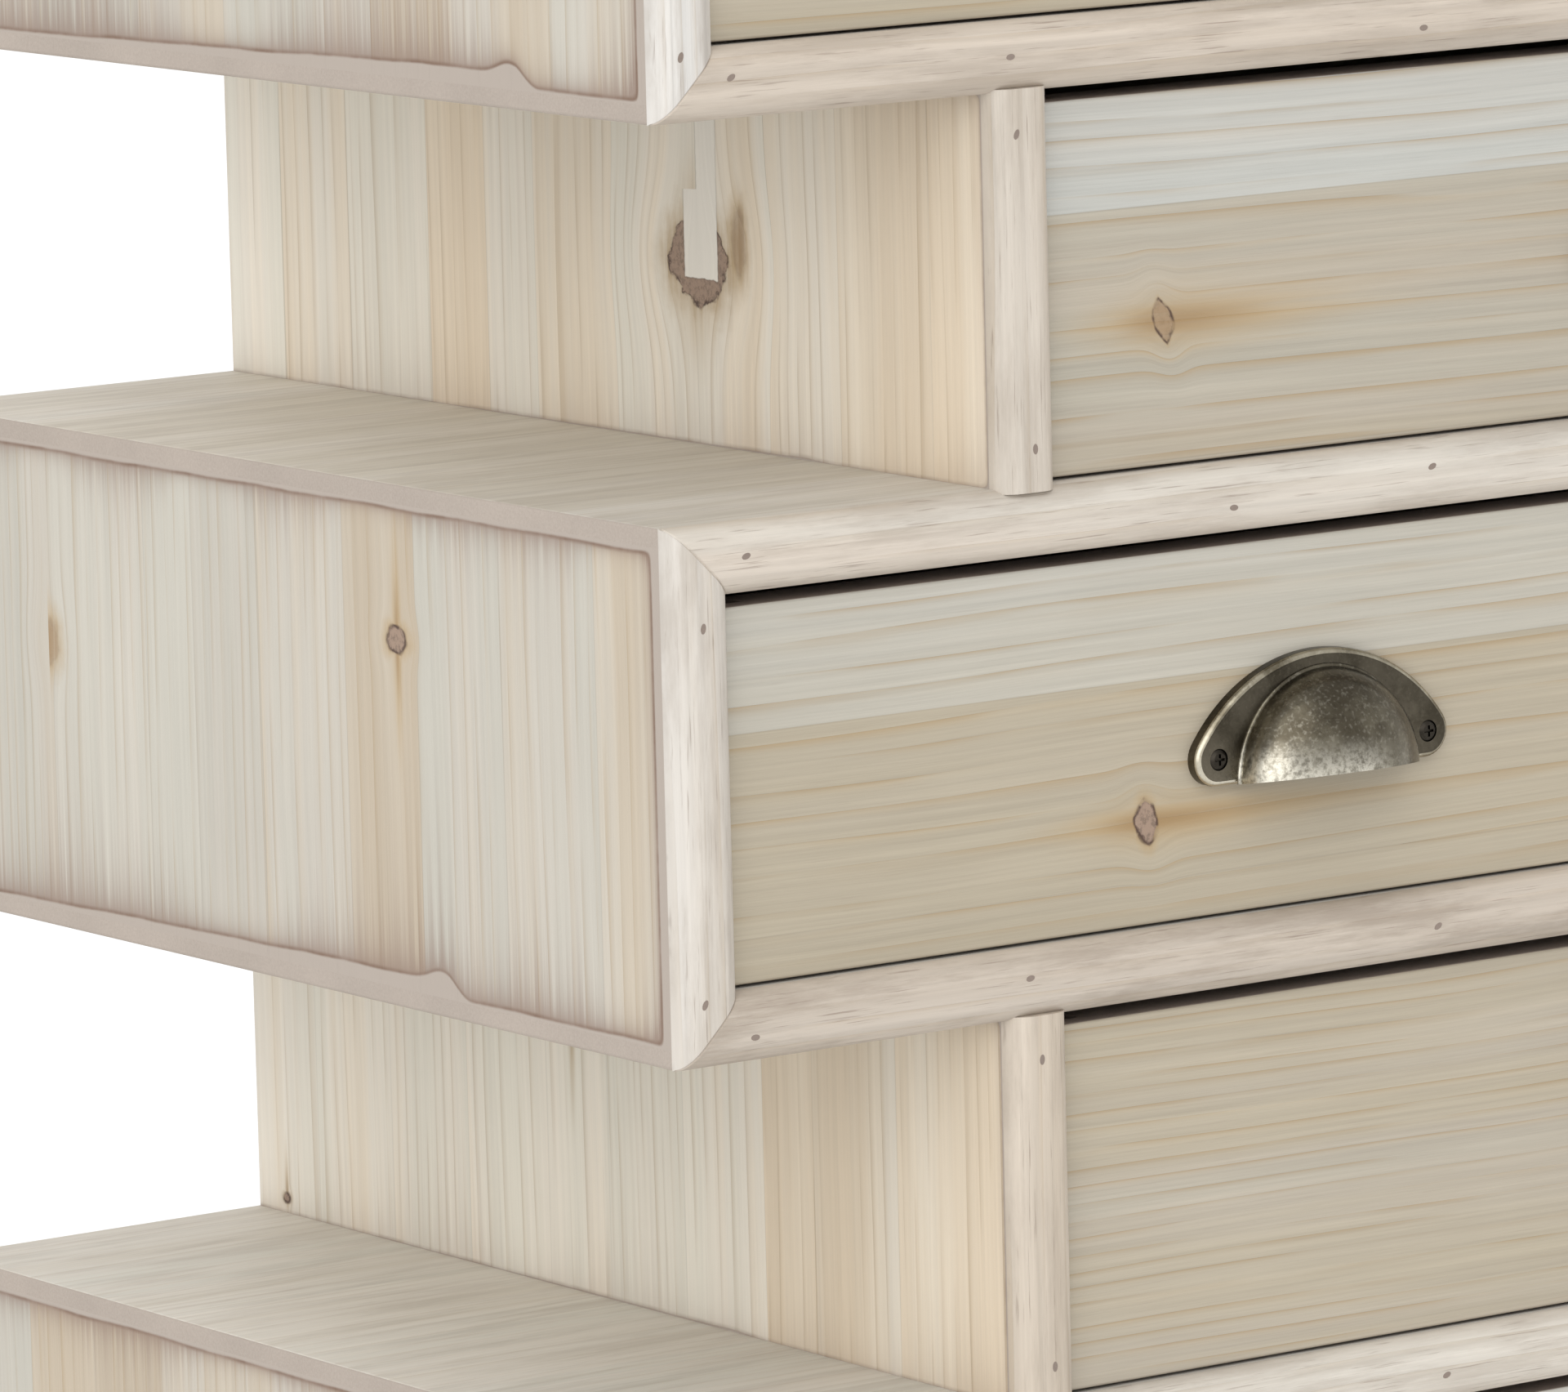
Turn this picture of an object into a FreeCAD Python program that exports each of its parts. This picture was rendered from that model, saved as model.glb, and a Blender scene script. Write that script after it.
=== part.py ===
import FreeCAD, Part
import math
import os
import re
import Sketcher

# A stepped chest of seven drawers, in millimetres.
# Odd tiers stand flush with the left end, even tiers are shifted to the right.
# Carcass coordinates: x from the left end, y from the front edge of the boards to the back,
# z from the underside of the lowest deck. Every finished piece is then moved so that the
# origin lies on the floor, under the middle of the whole chest.

TIERS = 7
SIDES = ("left", "right")
CUT_MARGIN = 2

SIZES = (
    # Carcass
    ("tier_width", 406),
    ("tier_offset", 101),
    ("case_depth", 350),
    ("opening_height", 99),
    ("board_thickness", 18),
    ("lip_height", 5),
    ("back_thickness", 5),
    # Mouldings on the front edges, as wide as the boards are thick
    ("moulding_projection", 6.4),
    ("moulding_shoulder", 6),
    ("cope_depth", 1.2),
    # Dowels between decks and side panels
    ("dowel_diameter", 8),
    ("dowel_length", 28),
    ("dowel_hold", 12),
    ("dowel_slack", 0.2),
    ("dowel_inset", 50),
    # Floor glides
    ("glide_diameter", 22),
    ("glide_height", 4),
    ("glide_inset", 30),
    # Drawers
    ("front_thickness", 16),
    ("front_lap", 6),
    ("front_side_gap", 1.3),
    ("front_top_gap", 3.6),
    ("front_bottom_gap", 0.8),
    ("front_setback", 0.5),
    ("running_gap", 0.3),
    ("drawer_side_thickness", 10),
    ("drawer_headroom", 10.7),
    ("drawer_back_thickness", 10),
    ("bottom_thickness", 4),
    ("groove_depth", 5),
    ("groove_height", 8),
    # Stops behind the drawers
    ("stop_length", 24),
    ("stop_width", 20),
    ("stop_height", 15),
    ("stop_inset", 15),
    # Cup pulls, which stand right of the middle by the shift on the tiers to the right
    ("pull_width", 82),
    ("pull_height", 32),
    ("pull_projection", 22),
    ("pull_base_height", 33.5),
    ("pull_shift", 28),
    ("flange_thickness", 4),
    ("flange_rounding", 1.2),
    ("ear_radius", 7),
    ("dome_radius", 27.5),
    ("dome_side_radius", 13),
    ("dome_wall", 1.8),
    ("mouth_rise", 2.5),
    # Screws of the pulls
    ("screw_head_diameter", 5.4),
    ("screw_head_height", 1.4),
    ("screw_seat_depth", 1),
    ("screw_shank_diameter", 2.8),
    ("screw_length", 14),
    ("screw_slack", 0.3),
    ("recess_length", 3),
    ("recess_width", 0.7),
    ("recess_depth", 0.8),
)

# Sizes of what fits in something else: they follow it with a clearance
FITTED_SIZES = (
    ("drawer_side_height", "opening_height - running_gap - drawer_headroom"),
)

ALIASES = [name for name, value in SIZES + FITTED_SIZES]

# Sizes that follow from the driving ones
PITCH = "(opening_height + board_thickness)"
OPENING_WIDTH = "(tier_width - 2 * board_thickness)"
WHOLE_WIDTH = "(tier_width + tier_offset)"
DRAWER_LENGTH = "(case_depth - back_thickness - stop_length - running_gap - front_setback)"
FRONT_HEIGHT = "(opening_height - front_top_gap - front_bottom_gap)"
HOLE_SPACING = "(pull_width - 2 * ear_radius)"

# From carcass coordinates to the origin under the middle of the chest
MOVE_X = f"(-{WHOLE_WIDTH} / 2)"
MOVE_Y = "(-(case_depth + front_setback - pull_projection) / 2)"
MOVE_Z = "glide_height"

doc = FreeCAD.newDocument("stepped_chest")
sheet = doc.addObject("Spreadsheet::Sheet", "sizes")
for row, (alias, value) in enumerate(SIZES + FITTED_SIZES, start=1):
    sheet.set(f"A{row}", alias)
    sheet.set(f"B{row}", f"={value}")
    sheet.setAlias(f"B{row}", alias)
doc.recompute()

nodes = []


def linked(text):
    """Turns the names of sizes in a formula into references to the sheet."""
    return re.sub(r"[a-z_]+", lambda word: "sizes." + word[0] if word[0] in ALIASES else word[0], str(text))


def bind(thing, **formulas):
    """Binds properties of an object to formulas of the sizes."""
    for name, text in formulas.items():
        thing.setExpression(name, linked(text))


def place(thing, x=0, y=0, z=0, turn=None):
    """Puts an object at formulas of the sizes, turned first if a rotation is given."""
    if turn is not None:
        thing.Placement = FreeCAD.Placement(FreeCAD.Vector(), turn)
    for axis, text in (("x", x), ("y", y), ("z", z)):
        thing.setExpression(f"Placement.Base.{axis}", linked(text))


def box(name, x, y, z, length, width, height, turn=None):
    """A board or a straight cut, from its lowest corner."""
    thing = doc.addObject("Part::Box", name)
    bind(thing, Length=length, Width=width, Height=height)
    place(thing, x, y, z, turn)
    return thing


def rod(name, x, y, z, diameter, height, turn=None):
    """A round peg or hole, from the middle of its first end."""
    thing = doc.addObject("Part::Cylinder", name)
    bind(thing, Radius=f"({diameter}) / 2", Height=height)
    place(thing, x, y, z, turn)
    return thing


def group(name, pieces):
    """Several solids in one object."""
    thing = doc.addObject("Part::Compound", name)
    thing.Links = pieces
    return thing


def fused(name, pieces):
    """One solid made of several."""
    thing = doc.addObject("Part::MultiFuse", name)
    thing.Shapes = pieces
    return thing


def cut(name, base, tools):
    """A solid less the tools, or the solid itself where there are none."""
    if not tools:
        return base
    thing = doc.addObject("Part::Cut", name)
    thing.Base = base
    thing.Tool = group(name + "_cuts", tools)
    return thing


def size_sketch(sketch, rules, sizes):
    """Holds a sketch to its rules, and to sizes given by formulas."""
    for rule in rules:
        sketch.addConstraint(Sketcher.Constraint(*rule))
    for kind, places, value, name, formula in sizes:
        index = sketch.addConstraint(Sketcher.Constraint(kind, *places, value))
        sketch.renameConstraint(index, name)
        bind(sketch, **{f"Constraints.{name}": formula})


def node(label, pieces, x=0, y=0, z=0):
    """A finished sub-part, moved from carcass coordinates to its place."""
    thing = group(label, pieces)
    thing.Label = label
    place(thing, f"{x} + {MOVE_X}", f"{y} + {MOVE_Y}", f"{z} + {MOVE_Z}")
    nodes.append(thing)


ALONG_X = FreeCAD.Rotation(FreeCAD.Vector(0, 1, 0), 90)
FACING_FRONT = FreeCAD.Rotation(FreeCAD.Vector(1, 0, 0), 90)
FACING_BACK = FreeCAD.Rotation(FreeCAD.Vector(1, 0, 0), -90)
RAIL_TURN = FreeCAD.Rotation(
    FreeCAD.Vector(0, 0, 1), FreeCAD.Vector(0, -1, 0), FreeCAD.Vector(1, 0, 0), "ZXY")
STILE_TURN = FreeCAD.Rotation(
    FreeCAD.Vector(-1, 0, 0), FreeCAD.Vector(0, -1, 0), FreeCAD.Vector(0, 0, 1), "ZXY")


# Where the decks and tiers lie

def deck_bottom(deck):
    """Height of a deck's underside."""
    return f"({deck - 1} * {PITCH})"


def deck_top(deck):
    """Height of a deck's upper face."""
    return f"({deck_bottom(deck)} + board_thickness)"


def deck_length(deck):
    """Inner decks span both neighbouring tiers, the lowest and the highest only one."""
    return "tier_width" if deck in (1, TIERS + 1) else WHOLE_WIDTH


def tier_left(tier):
    """Left end of a tier."""
    return "0" if tier % 2 else "tier_offset"


def panel_left(tier, side):
    """Left face of a tier's side panel."""
    if side == "left":
        return tier_left(tier)
    return f"({tier_left(tier)} + tier_width - board_thickness)"


def is_corner(tier, side, deck):
    """Whether the end of a deck and the side of a tier meet in an outer corner."""
    if side == "left":
        return tier % 2 == 1
    return tier % 2 == 0 or deck in (1, TIERS + 1)


def deck_corners(deck):
    """The outer corners at a deck, as pairs of tier and side."""
    tiers = [tier for tier in (deck - 1, deck) if 1 <= tier <= TIERS]
    return [(tier, side) for tier in tiers for side in SIDES if is_corner(tier, side, deck)]


def panel_ends(tier, side):
    """Heights of the lower and upper edge of a side panel, seated in the decks' rebates at corners."""
    low = f"({deck_bottom(tier)} + lip_height)" if is_corner(tier, side, tier) else deck_top(tier)
    high = deck_bottom(tier + 1)
    if is_corner(tier, side, tier + 1):
        high = f"({deck_top(tier + 1)} - lip_height)"
    return low, high


# Dowels: level ones through a rebate's shoulder at corners, upright ones elsewhere

def dowels(name, tier, side, deck, slack):
    """The two dowels, or with slack their holes, between a side panel and a deck."""
    middle = f"({panel_left(tier, side)} + board_thickness / 2)"
    above = tier == deck
    pegs = []
    for index, depth in enumerate(("dowel_inset", "(case_depth - dowel_inset)")):
        label = f"{name}_{index}"
        diameter = f"dowel_diameter + {slack}"
        length = f"dowel_length + {slack}"
        if is_corner(tier, side, deck):
            shoulder = "board_thickness" if side == "left" else f"({panel_left(tier, side)})"
            first = "dowel_hold" if side == "left" else "(dowel_length - dowel_hold)"
            level = f"({deck_top(deck)} - (board_thickness - lip_height) / 2)"
            if not above:
                level = f"({deck_bottom(deck)} + (board_thickness - lip_height) / 2)"
            start = f"{shoulder} - {first} - ({slack}) / 2"
            pegs.append(rod(label, start, depth, level, diameter, length, ALONG_X))
        else:
            start = f"{deck_top(deck)} - dowel_hold - ({slack}) / 2"
            if not above:
                start = f"{deck_bottom(deck)} - (dowel_length - dowel_hold) - ({slack}) / 2"
            pegs.append(rod(label, middle, depth, start, diameter, length))
    return pegs


# Mouldings: a flat D that covers the front edge of a board

def moulding_profile():
    """The flat D, its base along x and its crest along y."""
    wide = sheet.board_thickness
    deep = sheet.moulding_projection
    shoulder = sheet.moulding_shoulder
    low = deep - shoulder
    vector = FreeCAD.Vector
    up = vector(0, 0, 1)
    sketch = doc.addObject("Sketcher::SketchObject", "moulding_profile")
    left_arc = Part.Circle(vector(shoulder, low), up, shoulder)
    right_arc = Part.Circle(vector(wide - shoulder, low), up, shoulder)
    sketch.addGeometry(Part.LineSegment(vector(0, 0), vector(0, low)))
    sketch.addGeometry(Part.ArcOfCircle(left_arc, math.pi / 2, math.pi))
    sketch.addGeometry(Part.LineSegment(vector(shoulder, deep), vector(wide - shoulder, deep)))
    sketch.addGeometry(Part.ArcOfCircle(right_arc, 0, math.pi / 2))
    sketch.addGeometry(Part.LineSegment(vector(wide, low), vector(wide, 0)))
    sketch.addGeometry(Part.LineSegment(vector(wide, 0), vector(0, 0)))
    rules = (
        ("Coincident", 0, 1, -1, 1),
        ("Vertical", 0),
        ("Tangent", 0, 2, 1, 2),
        ("Tangent", 1, 1, 2, 1),
        ("Tangent", 2, 2, 3, 2),
        ("Tangent", 3, 1, 4, 1),
        ("Coincident", 4, 2, 5, 1),
        ("Coincident", 5, 2, 0, 1),
        ("Vertical", 4),
        ("Horizontal", 5),
        ("Equal", 1, 3),
    )
    sizes = (
        ("DistanceX", (0, 1, 4, 2), wide, "width", "board_thickness"),
        ("DistanceY", (-1, 1, 2, 1), deep, "projection", "moulding_projection"),
        ("Radius", (1,), shoulder, "shoulder", "moulding_shoulder"),
    )
    size_sketch(sketch, rules, sizes)
    return sketch


def moulding(name, profile, length, x, z, turn):
    """A straight length of moulding on the front of the boards."""
    thing = doc.addObject("Part::Extrusion", name)
    thing.Base = profile
    thing.DirMode = "Custom"
    thing.Dir = FreeCAD.Vector(0, 0, 1)
    thing.Solid = True
    bind(thing, LengthFwd=length)
    place(thing, x, 0, z, turn)
    return thing


def mitre(name, side, deck, above, for_rail):
    """The half of a corner square that a mitre takes off a rail or off a stile."""
    thing = doc.addObject("Part::Wedge", name)
    leg = f"board_thickness + {2 * CUT_MARGIN}"
    thickness = f"moulding_projection + {2 * CUT_MARGIN}"
    apex = leg if (side == "right") == for_rail else "0"
    bind(thing, Xmin=0, Xmax=leg, Ymin=0, Ymax=leg, Zmin=0, Zmax=thickness)
    bind(thing, X2min=apex, X2max=apex, Z2min=0, Z2max=thickness)
    right_end = f"({deck_length(deck)} - board_thickness)"
    x = f"{'0' if side == 'left' else right_end} - {CUT_MARGIN}"
    from_below = above != for_rail
    if from_below:
        place(thing, x, CUT_MARGIN, f"{deck_bottom(deck)} - {CUT_MARGIN}", FACING_FRONT)
    else:
        y = f"-moulding_projection - {CUT_MARGIN}"
        place(thing, x, y, f"{deck_top(deck)} + {CUT_MARGIN}", FACING_BACK)
    return thing


# Carcass pieces

def make_decks():
    """The boards between the tiers, with rebates for the side panels and holes for the dowels."""
    for deck in range(1, TIERS + 2):
        name = f"deck_{deck}"
        board = box(
            name + "_board", 0, 0, deck_bottom(deck), deck_length(deck), "case_depth", "board_thickness")
        cuts = []
        for tier, side in deck_corners(deck):
            low = "lip_height" if tier == deck else f"-{CUT_MARGIN}"
            x = f"-{CUT_MARGIN}" if side == "left" else f"{deck_length(deck)} - board_thickness"
            cuts.append(box(
                f"{name}_rebate_{side}", x, f"-{CUT_MARGIN}", f"{deck_bottom(deck)} + {low}",
                f"board_thickness + {CUT_MARGIN}", f"case_depth + {2 * CUT_MARGIN}",
                f"board_thickness - lip_height + {CUT_MARGIN}"))
        for tier in (deck - 1, deck):
            for side in SIDES:
                if 1 <= tier <= TIERS:
                    cuts += dowels(f"{name}_hole_{tier}_{side}", tier, side, deck, "dowel_slack")
        node(name, [cut(name + "_shaped", board, cuts)])


def make_side_panels():
    """The panels that close the tiers at the left and at the right."""
    for side in SIDES:
        panels = []
        for tier in range(1, TIERS + 1):
            name = f"{side}_panel_{tier}"
            low, high = panel_ends(tier, side)
            board = box(
                name, panel_left(tier, side), 0, low, "board_thickness", "case_depth", f"{high} - {low}")
            holes = []
            for deck in (tier, tier + 1):
                holes += dowels(f"{name}_hole_{deck}", tier, side, deck, "dowel_slack")
            panels.append(cut(name + "_drilled", board, holes))
        node(f"{side}_side_panels", panels)


def make_dowels():
    """Every dowel of the carcass."""
    pegs = []
    for tier in range(1, TIERS + 1):
        for side in SIDES:
            for deck in (tier, tier + 1):
                pegs += dowels(f"dowel_{tier}_{side}_{deck}", tier, side, deck, "0")
    node("carcass_dowels", pegs)


def make_backs_and_stops():
    """The back panels between the boards, and two stops behind each drawer."""
    backs = []
    stops = []
    for tier in range(1, TIERS + 1):
        left = f"({tier_left(tier)} + board_thickness)"
        inner_face = "(case_depth - back_thickness)"
        backs.append(box(
            f"back_{tier}", left, inner_face, deck_top(tier), OPENING_WIDTH, "back_thickness",
            "opening_height"))
        for side in SIDES:
            x = f"{left} + stop_inset"
            if side == "right":
                x = f"{left} + {OPENING_WIDTH} - stop_inset - stop_width"
            stops.append(box(
                f"stop_{tier}_{side}", x, f"{inner_face} - stop_length", deck_top(tier),
                "stop_width", "stop_length", "stop_height"))
    node("back_panels", backs)
    node("drawer_stops", stops)


def make_mouldings():
    """Rails along the decks, and stiles mitred to them at corners and coped onto them elsewhere."""
    profile = moulding_profile()
    rails = {}
    for deck in range(1, TIERS + 2):
        name = f"rail_{deck}"
        bar = moulding(name, profile, deck_length(deck), 0, deck_bottom(deck), RAIL_TURN)
        mitres = [
            mitre(f"{name}_mitre_{side}", side, deck, tier == deck, True)
            for tier, side in deck_corners(deck)]
        rails[deck] = cut(name + "_mitred", bar, mitres)
    node("front_rails", list(rails.values()))
    for side in SIDES:
        stiles = []
        for tier in range(1, TIERS + 1):
            name = f"{side}_stile_{tier}"
            low = f"({deck_top(tier)} - cope_depth)"
            high = f"({deck_bottom(tier + 1)} + cope_depth)"
            if is_corner(tier, side, tier):
                low = deck_bottom(tier)
            if is_corner(tier, side, tier + 1):
                high = deck_top(tier + 1)
            right_edge = f"{panel_left(tier, side)} + board_thickness"
            bar = moulding(name, profile, f"{high} - {low}", right_edge, low, STILE_TURN)
            cuts = []
            for deck in (tier, tier + 1):
                if is_corner(tier, side, deck):
                    cuts.append(mitre(f"{name}_mitre_{deck}", side, deck, tier == deck, False))
                else:
                    cuts.append(rails[deck])
            stiles.append(cut(name + "_fitted", bar, cuts))
        node(f"{side}_stiles", stiles)


def make_glides():
    """Four round glides under the lowest deck."""
    glides = []
    for index, x in enumerate(("glide_inset", "(tier_width - glide_inset)")):
        for row, y in enumerate(("glide_inset", "(case_depth - glide_inset)")):
            name = f"glide_{index}_{row}"
            glides.append(rod(name, x, y, "-glide_height", "glide_diameter", "glide_height"))
    node("floor_glides", glides)


# Drawer pieces, from the lower left front corner of an opening

def drawer_front(shift):
    """The front, rebated for the sides, grooved for the bottom and drilled for the pull off its middle."""
    width = f"({OPENING_WIDTH} - 2 * front_side_gap)"
    board = box(
        "front_board", "front_side_gap", "front_setback", "front_bottom_gap", width, "front_thickness",
        FRONT_HEIGHT)
    lap = "(front_setback + front_lap)"
    lap_length = f"front_thickness - front_lap + {CUT_MARGIN}"
    lap_height = f"running_gap + drawer_side_height + {CUT_MARGIN}"
    left = f"front_side_gap - {CUT_MARGIN}"
    right = f"front_side_gap + {width} - drawer_side_thickness"
    lap_width = f"drawer_side_thickness + {CUT_MARGIN}"
    cuts = [
        box("front_lap_left", left, lap, -CUT_MARGIN, lap_width, lap_length, lap_height),
        box("front_lap_right", right, lap, -CUT_MARGIN, lap_width, lap_length, lap_height),
        box(
            "front_groove", "front_side_gap + drawer_side_thickness - groove_depth",
            "front_setback + front_thickness - groove_depth", "running_gap + groove_height",
            f"{width} - 2 * (drawer_side_thickness - groove_depth)", f"groove_depth + {CUT_MARGIN}",
            "bottom_thickness"),
    ]
    depth = "screw_length - (flange_thickness - screw_seat_depth) + screw_slack"
    for side in SIDES:
        sign = "-" if side == "left" else "+"
        x = f"{OPENING_WIDTH} / 2 + {shift} {sign} {HOLE_SPACING} / 2"
        z = "front_bottom_gap + pull_base_height + ear_radius"
        start = f"front_setback - {CUT_MARGIN}"
        cuts.append(rod(
            f"front_hole_{side}", x, start, z, "screw_shank_diameter + screw_slack",
            f"{depth} + {CUT_MARGIN}", FACING_BACK))
    return cut("front_shaped", board, cuts)


def drawer_sides():
    """The two sides, grooved for the bottom."""
    pieces = []
    start = "(front_setback + front_lap)"
    length = f"({DRAWER_LENGTH} - front_lap)"
    for side in SIDES:
        x = "front_side_gap"
        groove_x = "front_side_gap + drawer_side_thickness - groove_depth"
        if side == "right":
            x = f"{OPENING_WIDTH} - front_side_gap - drawer_side_thickness"
            groove_x = f"{x} - {CUT_MARGIN}"
        board = box(
            f"side_{side}", x, start, "running_gap", "drawer_side_thickness", length, "drawer_side_height")
        groove = box(
            f"side_{side}_groove", groove_x, f"{start} - {CUT_MARGIN}", "running_gap + groove_height",
            f"groove_depth + {CUT_MARGIN}", f"{length} + {2 * CUT_MARGIN}", "bottom_thickness")
        pieces.append(cut(f"side_{side}_grooved", board, [groove]))
    return pieces


def drawer_back():
    """The back, which stands on the bottom between the sides."""
    z = "(running_gap + groove_height + bottom_thickness)"
    return box(
        "back_board", "front_side_gap + drawer_side_thickness",
        f"front_setback + {DRAWER_LENGTH} - drawer_back_thickness", z,
        f"{OPENING_WIDTH} - 2 * (front_side_gap + drawer_side_thickness)", "drawer_back_thickness",
        f"running_gap + drawer_side_height - {z}")


def drawer_bottom():
    """The bottom, in the grooves of the sides and the front, which runs on under the back."""
    x = "(front_side_gap + drawer_side_thickness - groove_depth)"
    y = "(front_setback + front_thickness - groove_depth)"
    return box(
        "bottom_board", x, y, "running_gap + groove_height", f"{OPENING_WIDTH} - 2 * {x}",
        f"front_setback + {DRAWER_LENGTH} - {y}", "bottom_thickness")


# Cup pull, drawn flat: x across, y up from its lower edge, z out from the drawer front

def flange_outline():
    """A low arch with a round ear at each lower corner."""
    height = sheet.pull_height
    ear = sheet.ear_radius
    reach = sheet.pull_width / 2 - ear
    centre = (height * (height - 2 * ear) - reach * reach) / (2 * (height - 2 * ear))
    radius = height - centre
    lean = math.atan2(ear - centre, reach)
    vector = FreeCAD.Vector
    up = vector(0, 0, 1)
    arch = Part.Circle(vector(0, centre), up, radius)
    right_ear = Part.Circle(vector(reach, ear), up, ear)
    left_ear = Part.Circle(vector(-reach, ear), up, ear)
    sketch = doc.addObject("Sketcher::SketchObject", "flange_outline")
    sketch.addGeometry(Part.LineSegment(vector(-reach, 0), vector(reach, 0)))
    sketch.addGeometry(Part.ArcOfCircle(right_ear, -math.pi / 2, lean))
    sketch.addGeometry(Part.ArcOfCircle(arch, lean, math.pi / 2))
    sketch.addGeometry(Part.ArcOfCircle(arch, math.pi / 2, math.pi - lean))
    sketch.addGeometry(Part.ArcOfCircle(left_ear, math.pi - lean, 3 * math.pi / 2))
    rules = (
        ("Tangent", 0, 2, 1, 1),
        ("Tangent", 1, 2, 2, 1),
        ("Coincident", 2, 2, 3, 1),
        ("Tangent", 3, 2, 4, 1),
        ("Tangent", 4, 2, 0, 1),
        ("PointOnObject", 2, 2, -2),
        ("PointOnObject", 2, 3, -2),
        ("PointOnObject", 3, 3, -2),
        ("PointOnObject", 0, 1, -1),
        ("Equal", 1, 4),
        ("Symmetric", 0, 1, 0, 2, -1, 1),
    )
    sizes = (
        ("DistanceX", (0, 1, 0, 2), 2 * reach, "hole_spacing", HOLE_SPACING),
        ("Radius", (1,), ear, "ear_radius", "ear_radius"),
        ("DistanceY", (-1, 1, 2, 2), height, "pull_height", "pull_height"),
    )
    size_sketch(sketch, rules, sizes)
    return sketch


def pull_flange():
    """The flange, with its front edge rounded."""
    plate = doc.addObject("Part::Extrusion", "flange_plate")
    plate.Base = flange_outline()
    plate.DirMode = "Custom"
    plate.Dir = FreeCAD.Vector(0, 0, 1)
    plate.Solid = True
    bind(plate, LengthFwd="flange_thickness")
    doc.recompute()
    rounded = doc.addObject("Part::Fillet", "flange_rounded")
    rounded.Base = plate
    level = sheet.flange_thickness
    radius = sheet.flange_rounding
    edges = []
    for index, edge in enumerate(plate.Shape.Edges, start=1):
        if math.isclose(edge.BoundBox.ZMin, level, abs_tol=1e-6):
            edges.append((index, radius, radius))
    rounded.Edges = edges
    return rounded


def dome_section():
    """Half the cup's wall in section: x out from the middle, y out from the drawer front."""
    reach = sheet.dome_radius
    wall = sheet.dome_wall
    base = sheet.flange_thickness
    rise = sheet.pull_projection - base
    side = sheet.dome_side_radius
    crown = ((reach - side) ** 2 + rise ** 2 - side ** 2) / (2 * (rise - side))
    lean = math.atan2(crown - rise, reach - side)
    vector = FreeCAD.Vector
    up = vector(0, 0, 1)
    side_centre = vector(reach - side, base)
    crown_centre = vector(0, base + rise - crown)
    top = base + rise
    sketch = doc.addObject("Sketcher::SketchObject", "dome_section")
    sketch.addGeometry(Part.LineSegment(vector(reach, 0), vector(reach, base)))
    sketch.addGeometry(Part.ArcOfCircle(Part.Circle(side_centre, up, side), 0, lean))
    sketch.addGeometry(Part.ArcOfCircle(Part.Circle(crown_centre, up, crown), lean, math.pi / 2))
    sketch.addGeometry(Part.LineSegment(vector(0, top), vector(0, top - wall)))
    sketch.addGeometry(Part.ArcOfCircle(Part.Circle(crown_centre, up, crown - wall), lean, math.pi / 2))
    sketch.addGeometry(Part.ArcOfCircle(Part.Circle(side_centre, up, side - wall), 0, lean))
    sketch.addGeometry(Part.LineSegment(vector(reach - wall, base), vector(reach - wall, 0)))
    sketch.addGeometry(Part.LineSegment(vector(reach - wall, 0), vector(reach, 0)))
    rules = (
        ("Tangent", 0, 2, 1, 1),
        ("Tangent", 1, 2, 2, 1),
        ("Coincident", 2, 2, 3, 1),
        ("Coincident", 3, 2, 4, 2),
        ("Coincident", 4, 1, 5, 2),
        ("Tangent", 5, 1, 6, 1),
        ("Coincident", 6, 2, 7, 1),
        ("Coincident", 7, 2, 0, 1),
        ("Vertical", 0),
        ("Vertical", 6),
        ("PointOnObject", 0, 1, -1),
        ("PointOnObject", 6, 2, -1),
        ("PointOnObject", 2, 3, -2),
        ("PointOnObject", 2, 2, -2),
        ("PointOnObject", 3, 2, -2),
        ("Coincident", 1, 3, 5, 3),
        ("Coincident", 2, 3, 4, 3),
    )
    sizes = (
        ("DistanceX", (-1, 1, 0, 1), reach, "reach", "dome_radius"),
        ("DistanceY", (0, 1, 0, 2), base, "base", "flange_thickness"),
        ("DistanceY", (-1, 1, 2, 2), top, "top", "pull_projection"),
        ("Radius", (1,), side, "side", "dome_side_radius"),
        ("DistanceX", (7, 1, 7, 2), wall, "wall", "dome_wall"),
    )
    size_sketch(sketch, rules, sizes)
    return sketch


def pull_dome():
    """The cup: its wall turned half round, above the pull's lower edge."""
    thing = doc.addObject("Part::Revolution", "pull_dome")
    thing.Source = dome_section()
    thing.Axis = FreeCAD.Vector(0, 1, 0)
    thing.Angle = 180
    thing.Solid = True
    place(thing, turn=FACING_FRONT)
    return thing


def pull_mouth():
    """The cut along the cup's lower rim, which rises a little towards the front."""
    tilt = math.atan2(sheet.mouth_rise, sheet.pull_projection - sheet.flange_thickness)
    turn = FreeCAD.Rotation(FreeCAD.Vector(1, 0, 0), -math.degrees(tilt))
    reach = 2 * sheet.dome_radius
    corner = FreeCAD.Vector(-reach, -reach, -sheet.flange_thickness)
    seat = FreeCAD.Vector(0, 0, sheet.flange_thickness)
    thing = doc.addObject("Part::Box", "pull_mouth")
    bind(thing, Length="4 * dome_radius", Width="2 * dome_radius", Height="2 * pull_projection")
    thing.Placement = FreeCAD.Placement(seat + turn.multVec(corner), turn)
    return thing


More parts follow.
